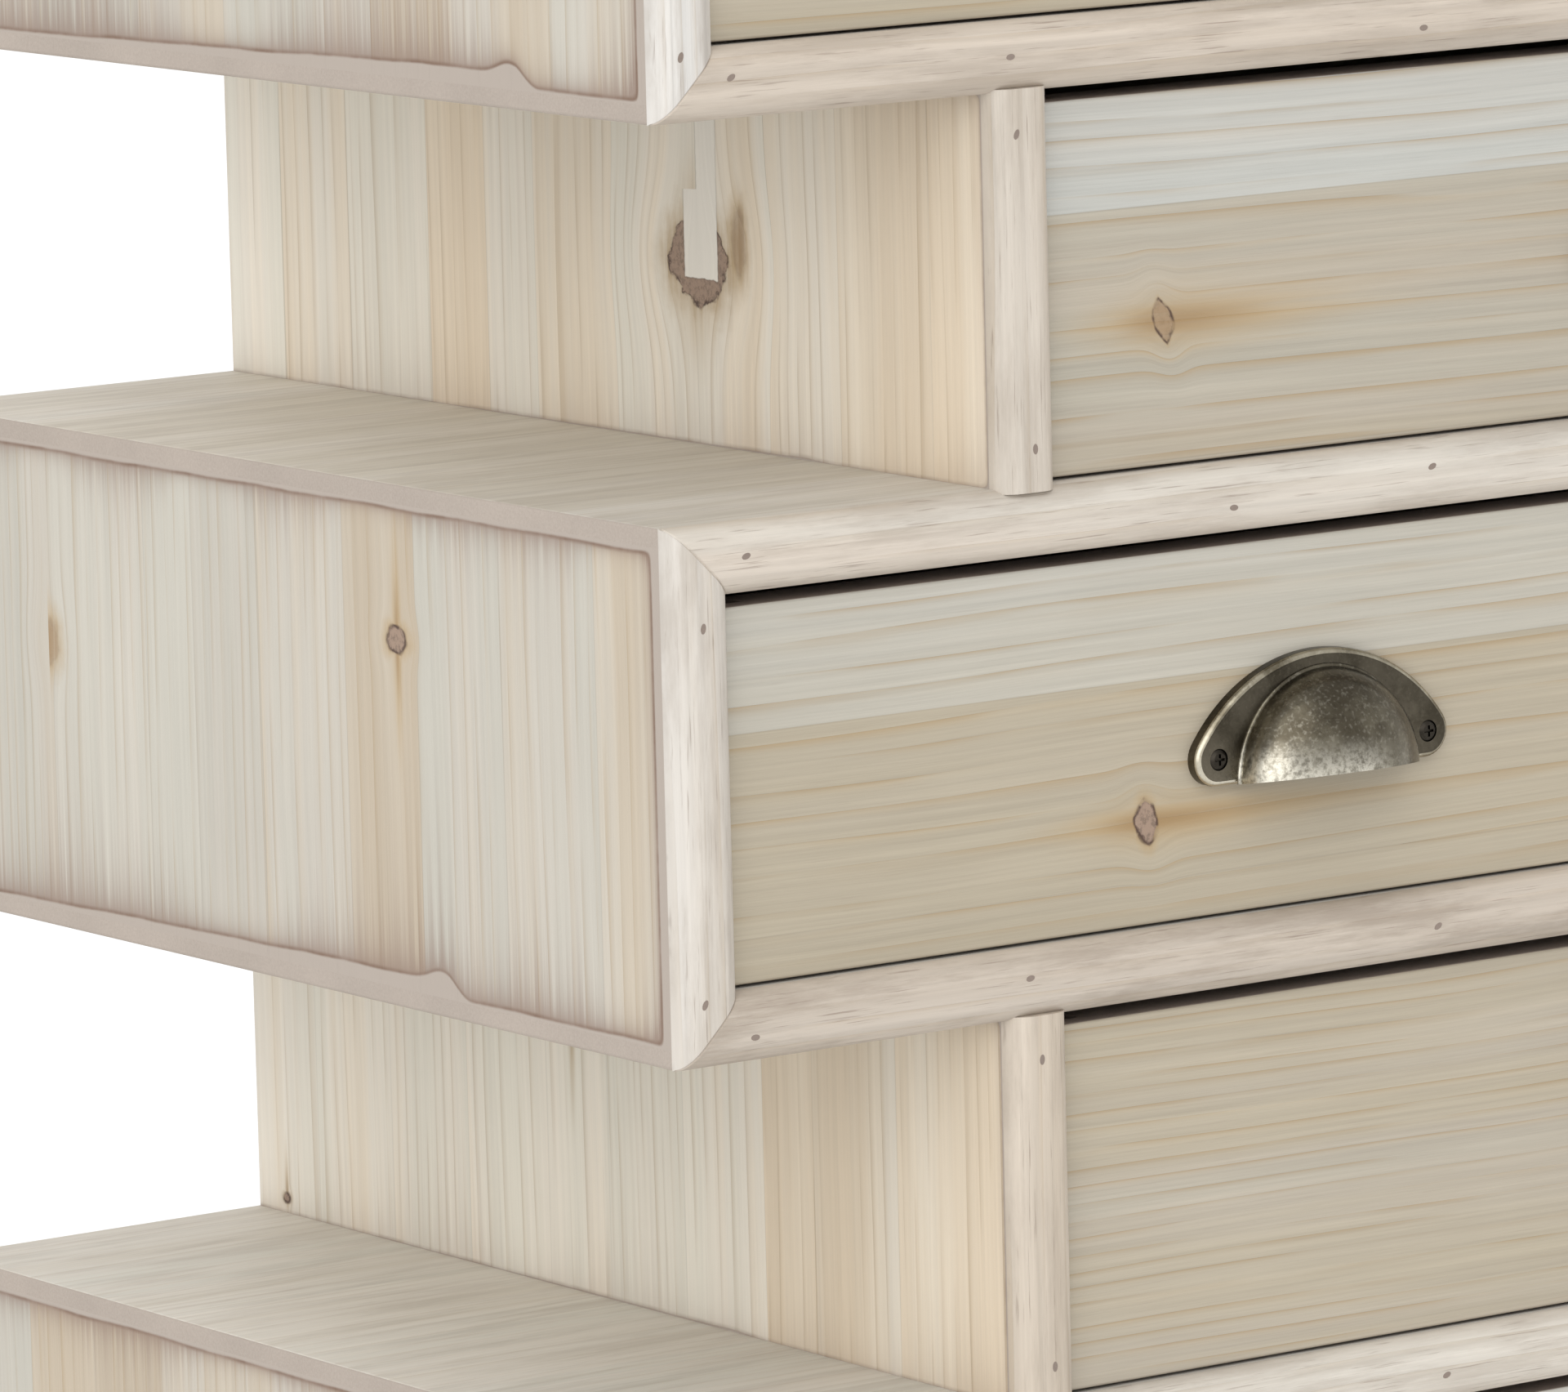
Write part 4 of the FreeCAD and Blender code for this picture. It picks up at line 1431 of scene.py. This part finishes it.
@dataclass
class CupPull:
    """A half-round cup on a flange with two screwed ears, drawn flat: across, up and out."""

    flange: float = 4 * MM
    flange_round: float = 1.8 * MM
    height: float = 32 * MM
    screw_reach: float = 34 * MM
    ear: float = 7 * MM
    seat: float = 2.85 * MM
    reach: float = 27.5 * MM
    side: float = 13 * MM
    projection: float = 22 * MM
    wall: float = 1.8 * MM
    bead: float = 0.8 * MM
    mouth_rise: float = 2.5 * MM
    bead_turn: float = math.radians(80)
    ear_steps: int = 12
    arch_steps: int = 48
    seat_steps: int = 24
    round_steps: int = 6
    bead_steps: int = 5
    side_steps: int = 10
    crown_steps: int = 16
    cup_steps: int = 80

    def plate(self) -> Form:
        """The flange: a low arch with ears, open in the middle.

        Returns:
            The flange.
        """
        form = bmesh.new()
        free = self.height - 2 * self.ear
        centre = (self.height * free - self.screw_reach ** 2) / (2 * free)
        lean = math.atan2(self.ear - centre, self.screw_reach)
        point = bmesh.ops.create_vert(form, co=(self.screw_reach, 0, 0))["vert"][0]
        first = point
        turns = (
            ((self.screw_reach, self.ear, 0), lean + math.pi / 2, self.ear_steps),
            ((0, centre, 0), math.pi - 2 * lean, self.arch_steps),
            ((-self.screw_reach, self.ear, 0), lean + math.pi / 2, self.ear_steps),
        )
        for middle_point, angle, steps in turns:
            point = self.swing(form, point, middle_point, (0, 0, 1), angle, steps)
        inner = self.reach - self.wall / 2
        inner_start = bmesh.ops.create_vert(form, co=(-inner, 0, 0))["vert"][0]
        form.edges.new((point, inner_start))
        inner_end = self.swing(form, inner_start, (0, 0, 0), (0, 0, -1), math.pi, self.arch_steps)
        form.edges.new((inner_end, first))
        for sign in (-1, 1):
            bmesh.ops.create_circle(
                form, cap_ends=False, segments=self.seat_steps, radius=self.seat,
                matrix=Matrix.Translation((sign * self.screw_reach, self.ear, 0)))
        bmesh.ops.triangle_fill(form, use_beauty=True, use_dissolve=False, edges=form.edges[:])
        grown = bmesh.ops.extrude_face_region(form, geom=form.faces[:])
        moved = [part for part in grown["geom"] if isinstance(part, Corner)]
        bmesh.ops.translate(form, verts=moved, vec=(0, 0, self.flange))
        bmesh.ops.recalc_face_normals(form, faces=form.faces[:])

        def rim(edge: Edge) -> bool:
            """Whether an edge is part of the flange's outer front edge."""
            spot = middle(edge)
            ear_gap = math.hypot(abs(spot.x) - self.screw_reach, spot.y - self.ear)
            outside = math.hypot(spot.x, spot.y) > self.reach and ear_gap > self.seat * 1.2
            return outside and spot.z > self.flange * 0.99

        soften(form, self.flange_round, self.round_steps, rim)
        return form

    def swing(
        self, form: Form, point: Corner, centre: Sequence[float], axis: Sequence[float], angle: float,
        steps: int,
    ) -> Corner:
        """Draws an arc from a point.

        Args:
            form: The form that gets the arc.
            point: Where the arc starts.
            centre: The middle of the arc.
            axis: The axis that it turns about.
            angle: How far it turns.
            steps: Its steps.

        Returns:
            The point where the arc ends.
        """
        made = bmesh.ops.spin(form, geom=[point], cent=centre, axis=axis, angle=angle, steps=steps)
        return [part for part in made["geom_last"] if isinstance(part, Corner)][0]

    def cup(self) -> Form:
        """The cup: its section turned half round, thickened, and cut along the mouth.

        Returns:
            The cup.
        """
        form = bmesh.new()
        rise = self.projection - self.flange
        crown = ((self.reach - self.side) ** 2 + rise ** 2 - self.side ** 2) / (2 * (rise - self.side))
        lean = math.atan2(crown - rise, self.reach - self.side)
        lift = math.asin(self.bead / self.side)
        outward = (0, -1, 0)
        foot = bmesh.ops.create_vert(form, co=(self.reach + self.bead, 0, self.flange))["vert"][0]
        rim_centre = (self.reach, 0, self.flange)
        foot_end = self.swing(form, foot, rim_centre, outward, self.bead_turn, self.bead_steps)
        start_reach = self.reach - self.side + self.side * math.cos(lift)
        start = (start_reach, 0, self.flange + self.side * math.sin(lift))
        wall = bmesh.ops.create_vert(form, co=start)["vert"][0]
        form.edges.new((foot_end, wall))
        side_centre = (self.reach - self.side, 0, self.flange)
        point = self.swing(form, wall, side_centre, outward, lean - lift, self.side_steps)
        crown_centre = (0, 0, self.projection - crown)
        self.swing(form, point, crown_centre, outward, math.pi / 2 - lean, self.crown_steps)
        bmesh.ops.spin(
            form, geom=form.edges[:], cent=(0, 0, 0), axis=(0, 0, 1), angle=math.pi, steps=self.cup_steps)
        bmesh.ops.remove_doubles(form, verts=form.verts[:], dist=0.01 * MM)
        bmesh.ops.recalc_face_normals(form, faces=form.faces[:])
        top = max(form.faces, key=lambda face: face.calc_center_median().z)
        if top.normal.z < 0:
            bmesh.ops.reverse_faces(form, faces=form.faces[:])
        bmesh.ops.solidify(form, geom=form.faces[:], thickness=self.wall)
        normal = Vector((0.0, -rise, self.mouth_rise)).normalized()
        slice_off(form, Vector((0, 0, self.flange)), normal)
        bmesh.ops.recalc_face_normals(form, faces=form.faces[:])
        return form


@dataclass
class Drawer:
    """One drawer with its front, box and pull."""

    tier: int
    finishes: DrawerSet
    pull: CupPull
    edge_round: float = 0.7 * MM
    lap: float = 6 * MM
    side_thickness: float = 10 * MM
    face_lean: float = 0.5
    rim_least: float = 0.3
    rim_most: float = 0.97

    def build(self) -> None:
        """Builds the drawer."""
        body = f"drawer_{self.tier}"
        self.build_front(body)
        self.build_pull(body)
        dress(f"{body}_sides", self.finishes.side)
        dress(f"{body}_back", self.finishes.back)
        dress(f"{body}_bottom", self.finishes.base)
        dress(f"{body}_pull_screws", self.finishes.screw)

    def build_front(self, body: str) -> None:
        """Builds the front, stepped behind for the sides.

        Args:
            body: The name of the drawer's body.
        """
        low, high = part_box(f"{body}_front")
        form = box_form(low, Vector((high.x, low.y + self.lap, high.z)))
        for x in (low.x + self.side_thickness, high.x - self.side_thickness):
            bmesh.ops.bisect_plane(form, geom=everything(form), plane_co=(x, 0, 0), plane_no=(1, 0, 0))
        centre = (low.x + high.x) / 2
        backs = [
            face for face in form.faces
            if face.normal.y > FACING and abs(face.calc_center_median().x - centre) < 1 * MM]
        grown = bmesh.ops.extrude_discrete_faces(form, faces=backs)
        for face in grown["faces"]:
            bmesh.ops.translate(form, verts=face.verts[:], vec=(0, high.y - low.y - self.lap, 0))
        bmesh.ops.recalc_face_normals(form, faces=form.faces[:])
        soften(form, self.edge_round, 3, lambda edge: abs(middle(edge).y - low.y) < TOUCH)
        face = self.finishes.plain_front if self.tier in PLAIN_TIERS else self.finishes.front
        piece = Piece(f"{body}_front_board", (face, self.finishes.edge))
        piece.add(
            form, (low.z, high.z, self.tier + FRONT_BOARDS),
            lambda face: 0 if abs(face.normal.y) > self.face_lean else 1)
        piece.place(body, "fir_front", (f"{body}_front",))

    def build_pull(self, body: str) -> None:
        """Builds the cup pull on the front, with its middle noted in place of an upper end.

        Args:
            body: The name of the drawer's body.
        """
        low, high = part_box(f"{body}_pull")
        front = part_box(f"{body}_front")[0].y
        centre = (low.x + high.x) / 2
        upright = Matrix(((1, 0, 0, centre), (0, 0, -1, front), (0, 1, 0, low.z), (0, 0, 0, 1)))
        piece = Piece(f"{body}_cup_pull", (self.finishes.cup, self.finishes.flange, self.finishes.rim))

        def plate_finish(face: Face) -> int:
            """A lighter finish on the flange's rounded edge, partly rubbed brass and partly painted
            highlight, and the dark one elsewhere.
            """
            return 2 if self.rim_least < -face.normal.y < self.rim_most else 1

        for form, finish in ((self.pull.cup(), lambda face: 0), (self.pull.plate(), plate_finish)):
            bmesh.ops.transform(form, matrix=upright, verts=form.verts[:])
            piece.add(form, (low.z, centre, self.tier), finish, round_all=True)
        piece.place(body, "aged_brass", (f"{body}_pull",))


# Studio

@dataclass
class Studio:
    """A white floor, soft light and the camera at the photographed angle."""

    floor_reach: float = 24.0
    world_level: float = 0.9
    key_level: float = 1.0
    key_from: tuple[float, float, float] = (-0.80, -0.58, 0.16)
    high_level: float = 0.8
    high_from: tuple[float, float, float] = (-0.45, -0.65, 0.72)
    softness: float = math.radians(50)
    eye: tuple[float, float, float] = (-1.78736, -2.38583, 0.97468)
    yaw: float = math.radians(35.257)
    pitch: float = math.radians(8.632)
    roll: float = math.radians(1.432)
    lens: float = 255.56
    sensor: float = 36.0
    sight: float = 100.0

    def build(self) -> None:
        """Builds the floor, lights and camera."""
        self.build_floor()
        self.build_lights()
        self.build_camera()
        bpy.context.scene.view_settings.view_transform = "Standard"

    def build_floor(self) -> None:
        """Lays a plain white floor."""
        form = bmesh.new()
        bmesh.ops.create_grid(form, x_segments=1, y_segments=1, size=self.floor_reach)
        mesh = bpy.data.meshes.new("floor")
        form.to_mesh(mesh)
        form.free()
        paper = Surface("floor_paper")
        cloud = paper.graph.noise(paper.point, 3.0, 2.0)
        paper.set("Base Color", paper.graph.darken(tint(252, 252, 252), cloud, 0.015))
        paper.set("Roughness", 0.9)
        paper.set("Specular IOR Level", 0.0)
        mesh.materials.append(paper.material)
        floor = bpy.data.objects.new("floor", mesh)
        bpy.context.scene.collection.objects.link(floor)

    def build_lights(self) -> None:
        """Lights the room evenly, with broad soft lights from the left and from above."""
        world = bpy.data.worlds.new("studio_world")
        world.use_nodes = True
        back = world.node_tree.nodes["Background"]
        back.inputs["Color"].default_value = (1.0, 1.0, 1.0, 1.0)
        back.inputs["Strength"].default_value = self.world_level
        bpy.context.scene.world = world
        lights = (
            ("key_light", self.key_level, self.key_from),
            ("high_light", self.high_level, self.high_from))
        for name, level, origin in lights:
            data = bpy.data.lights.new(name, "SUN")
            data.energy = level
            data.angle = self.softness
            light = bpy.data.objects.new(name, data)
            light.rotation_euler = Vector(origin).to_track_quat("Z", "Y").to_euler()
            bpy.context.scene.collection.objects.link(light)

    def build_camera(self) -> None:
        """Sets the camera where the photograph was taken from."""
        forward = Vector((
            math.sin(self.yaw) * math.cos(self.pitch), math.cos(self.yaw) * math.cos(self.pitch),
            -math.sin(self.pitch)))
        right = Vector((math.cos(self.yaw), -math.sin(self.yaw), 0.0))
        down = forward.cross(right)
        across = math.cos(self.roll) * right + math.sin(self.roll) * down
        falling = -math.sin(self.roll) * right + math.cos(self.roll) * down
        turn = Matrix((across, -falling, -forward)).transposed()
        data = bpy.data.cameras.new("camera")
        data.sensor_fit = "HORIZONTAL"
        data.sensor_width = self.sensor
        data.lens = self.lens
        data.clip_end = self.sight
        camera = bpy.data.objects.new("camera", data)
        camera.matrix_world = Matrix.Translation(self.eye) @ turn.to_4x4()
        bpy.context.scene.collection.objects.link(camera)
        bpy.context.scene.camera = camera


# The whole

SIDE_COLOURS = (tint(185, 181, 170), tint(189, 183, 172), tint(189, 179, 163), tint(183, 170, 151))
DECK_COLOURS = (tint(211, 208, 198), tint(217, 211, 201), tint(205, 198, 185))
FRONT_COLOURS = (tint(170, 164, 150), tint(173, 164, 149), tint(171, 161, 142))
UPPER_COLOURS = (tint(181, 181, 175), tint(184, 182, 175), tint(178, 173, 161))
RAIL_COLOURS = (tint(197, 191, 181), tint(194, 184, 172), tint(186, 175, 162))
STILE_COLOURS = (tint(210, 208, 204), tint(208, 203, 196), tint(201, 193, 182))
INNER_STILE_COLOURS = (tint(196, 188, 177), tint(193, 182, 168), tint(185, 172, 155))
BACK_COLOURS = (tint(196, 178, 150), tint(190, 168, 136), tint(180, 156, 122))
BOX_COLOURS = (tint(200, 191, 176), tint(192, 181, 162))

# How much lighter or darker a wood is than the colours that it takes up; the inner side panels are painted
# lighter, against the shade that the tier above casts on them.
INNER_SIDE_PAINTED_LIGHT = 1.47
LIGHT_RAIL = 1.08
DULL_RAIL = 0.94


def knot(*sizes: float, **traits: float) -> Knot:
    """A knot with its place and sizes in millimetres."""
    return Knot(*(size * MM for size in sizes), **traits)


LEFT_KNOTS = (
    knot(567.2, -46.5, 3.3, 4.4, 44, 2.4),
    knot(549.3, 122.4, 6.2, 4.6, 18, 3.4, strength=0.15, halved=True),
    knot(300.0, 60.0, 3.4, 4.0, 22, 2.6, bias=-0.2),
    knot(780.0, 20.0, 3.0, 3.8, 20, 2.4),
)
INNER_KNOTS = (
    knot(377.3, 171.4, 1.4, 1.6, 14, 1.2, bias=0.5),
    knot(452.0, 28.8, 3.0, 1.0, 44, 1.8, strength=0.1),
    knot(654.5, -39.5, 10.8, 13.0, 38, 12, lens=0.3),
    knot(660.5, -58.0, 8.0, 3.0, 20, 4.0, strength=0.15),
    knot(180.0, 10.0, 3.2, 3.6, 22, 2.4),
)
RIGHT_KNOTS = (
    knot(420.0, -20.0, 3.4, 4.0, 22, 2.6),
    knot(660.0, 90.0, 3.0, 3.4, 20, 2.4, bias=0.3),
    knot(180.0, 30.0, 3.6, 3.6, 22, 2.4),
    knot(770.0, -70.0, 3.0, 3.6, 20, 2.4, bias=-0.3),
)
FRONT_KNOTS = (
    knot(-104.9, 517.2, 3.6, 5.6, 76, 6.0, bias=0.4, lens=0.3, lean=0.12),
    knot(-96.6, 644.3, 2.9, 5.8, 70, 7.5, bias=0.4, lens=0.95, lean=0.22, heart=0.3),
    knot(158.0, 405.0, 3.2, 4.6, 40, 5.0, bias=-0.3, lens=0.5),
    knot(-150.0, 300.0, 3.0, 4.4, 40, 5.0, bias=0.3, lens=0.2),
    knot(110.0, 170.0, 3.4, 4.2, 38, 5.0, bias=0.2, lens=0.6),
    knot(-160.0, 765.0, 3.2, 4.8, 40, 5.0, bias=0.3, lens=0.3),
)
SIDE_PATCH = Patch(*(place * MM for place in (650.2, 673.0, 706, -48.4, -39.5, -33.5)))


def brighter(colours: Sequence[Colour], factor: float) -> tuple[Colour, ...]:
    """Colours with their light multiplied."""
    return tuple((red * factor, green * factor, blue * factor, 1.0) for red, green, blue, _ in colours)


def carcass_woods() -> WoodSet:
    """Makes the finishes of the carcass.

    Returns:
        The finishes.
    """
    upright = Grain.UPRIGHT_SIDE
    # Painted light: the inner side panels take the side colours made lighter, against the shade of the
    # overhanging tier.
    shaded = brighter(SIDE_COLOURS, INNER_SIDE_PAINTED_LIGHT)
    light_rail = brighter(RAIL_COLOURS, LIGHT_RAIL)
    dull_rail = brighter(RAIL_COLOURS, DULL_RAIL)
    bare = 3.0 * MM
    hidden = 0.0
    outer = {"strip": 0.036, "bare_front": bare, "worn": 1.0, "rubbed": 0.8, "variant": 55.793}
    # On the inner panels the brown line along the front edge and the deck is painted shadow of the stile
    # and the deck, and the haze beside it makes them darker towards those edges.
    inner = {"bare_front": hidden, "worn": 0.1, "rubbed": 0.25, "painted_overhang_shade": 0.1}
    for side in (outer, inner):
        side.update(tone=0.08, lines=0.4, pins=0.27)
    moulding = {"strip": 0.3, "tone": 0.1, "lines": 0.25, "pins": 0.5, "flecks": 0.55}
    return WoodSet(
        outer_left=Fir("fir_outer_left", upright, SIDE_COLOURS, knots=LEFT_KNOTS, **outer).build(),
        inner_left=Fir(
            "fir_inner_left", upright, shaded, knots=INNER_KNOTS, patch=SIDE_PATCH, **inner).build(),
        outer_right=Fir("fir_outer_right", upright, SIDE_COLOURS, knots=RIGHT_KNOTS, **outer).build(),
        inner_right=Fir("fir_inner_right", upright, shaded, knots=RIGHT_KNOTS, **inner).build(),
        deck=Fir(
            "fir_deck", Grain.LEVEL_DECK, DECK_COLOURS, strip=0.12, lines=0.25, weather=0.25,
            front_darkening=0.14).build(),
        fibre=Fibreboard("fibreboard_edge", FIBRE).build(),
        rail=Fir("fir_rail", Grain.LEVEL_FRONT, light_rail, weather=0.35, **moulding).build(),
        weathered_rail=Fir("fir_dull_rail", Grain.LEVEL_FRONT, dull_rail, weather=0.6, **moulding).build(),
        stile=Fir("fir_stile", Grain.STILE, STILE_COLOURS, weather=0.35, **moulding).build(),
        inner_stile=Fir(
            "fir_inner_stile", Grain.STILE, INNER_STILE_COLOURS, weather=0.35, **moulding).build(),
        filler=Fibreboard("brad_filler", tint(134, 121, 112)).build(),
        back=Fir("fir_back", Grain.LEVEL_FRONT, BACK_COLOURS, strip=0.3, lines=0.6, pins=0.4).build(),
        drawer_side=Fir("fir_drawer_side", Grain.DRAWER_SIDE, BOX_COLOURS, strip=0.09).build(),
        glide=Smooth("glide_plastic", tint(60, 56, 52), 0.0, 0.5).build())


def drawer_finishes(woods: WoodSet) -> DrawerSet:
    """Makes the finishes of the drawers.

    Args:
        woods: The finishes of the carcass.

    Returns:
        The finishes.
    """
    level = Grain.LEVEL_FRONT
    dark = tint(78, 72, 60)
    patina = tint(112, 106, 91)
    # The lightest brass colour stands for rubbed brass and for a painted reflection of the white
    # surroundings.
    worn = tint(226, 221, 206)
    front = {"strip": 0.2, "lines": 0.62, "pins": 0.5, "flecks": 0.1, "knots": FRONT_KNOTS}
    return DrawerSet(
        front=Fir("fir_front", level, FRONT_COLOURS, top_colours=UPPER_COLOURS, **front).build(),
        plain_front=Fir("fir_plain_front", level, FRONT_COLOURS, **front).build(),
        edge=Fibreboard("front_edge", tint(134, 122, 114)).build(),
        side=woods.drawer_side,
        back=Fir("fir_drawer_back", level, BOX_COLOURS, strip=0.1).build(),
        base=Fir("drawer_base", Grain.LEVEL_DECK, BOX_COLOURS, strip=0.4).build(),
        cup=AgedBrass("aged_brass", dark, patina, worn, 0.95).build(),
        flange=AgedBrass(
            "aged_brass_flange", tint(66, 61, 51), tint(93, 87, 75), tint(128, 121, 106), 0.4).build(),
        # Partly rubbed brass and partly painted highlight along the flange's rounded edge.
        rim=AgedBrass("aged_brass_rim_wear_and_highlight", tint(120, 112, 94), tint(188, 180, 160), worn, 0.6).build(),
        screw=Smooth("dark_screw", tint(58, 54, 48), 1.0, 0.4).build())


def main() -> None:
    """Builds the chest and the studio, and logs its progress."""
    woods = carcass_woods()
    Carcass(woods).build()
    finishes = drawer_finishes(woods)
    pull = CupPull()
    for tier in range(1, TIERS + 1):
        Drawer(tier, finishes, pull).build()
        LOG.info("drawer %d built", tier)
    Studio().build()
    LOG.info("studio built")
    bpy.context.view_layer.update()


if __name__ == "__main__":
    main()
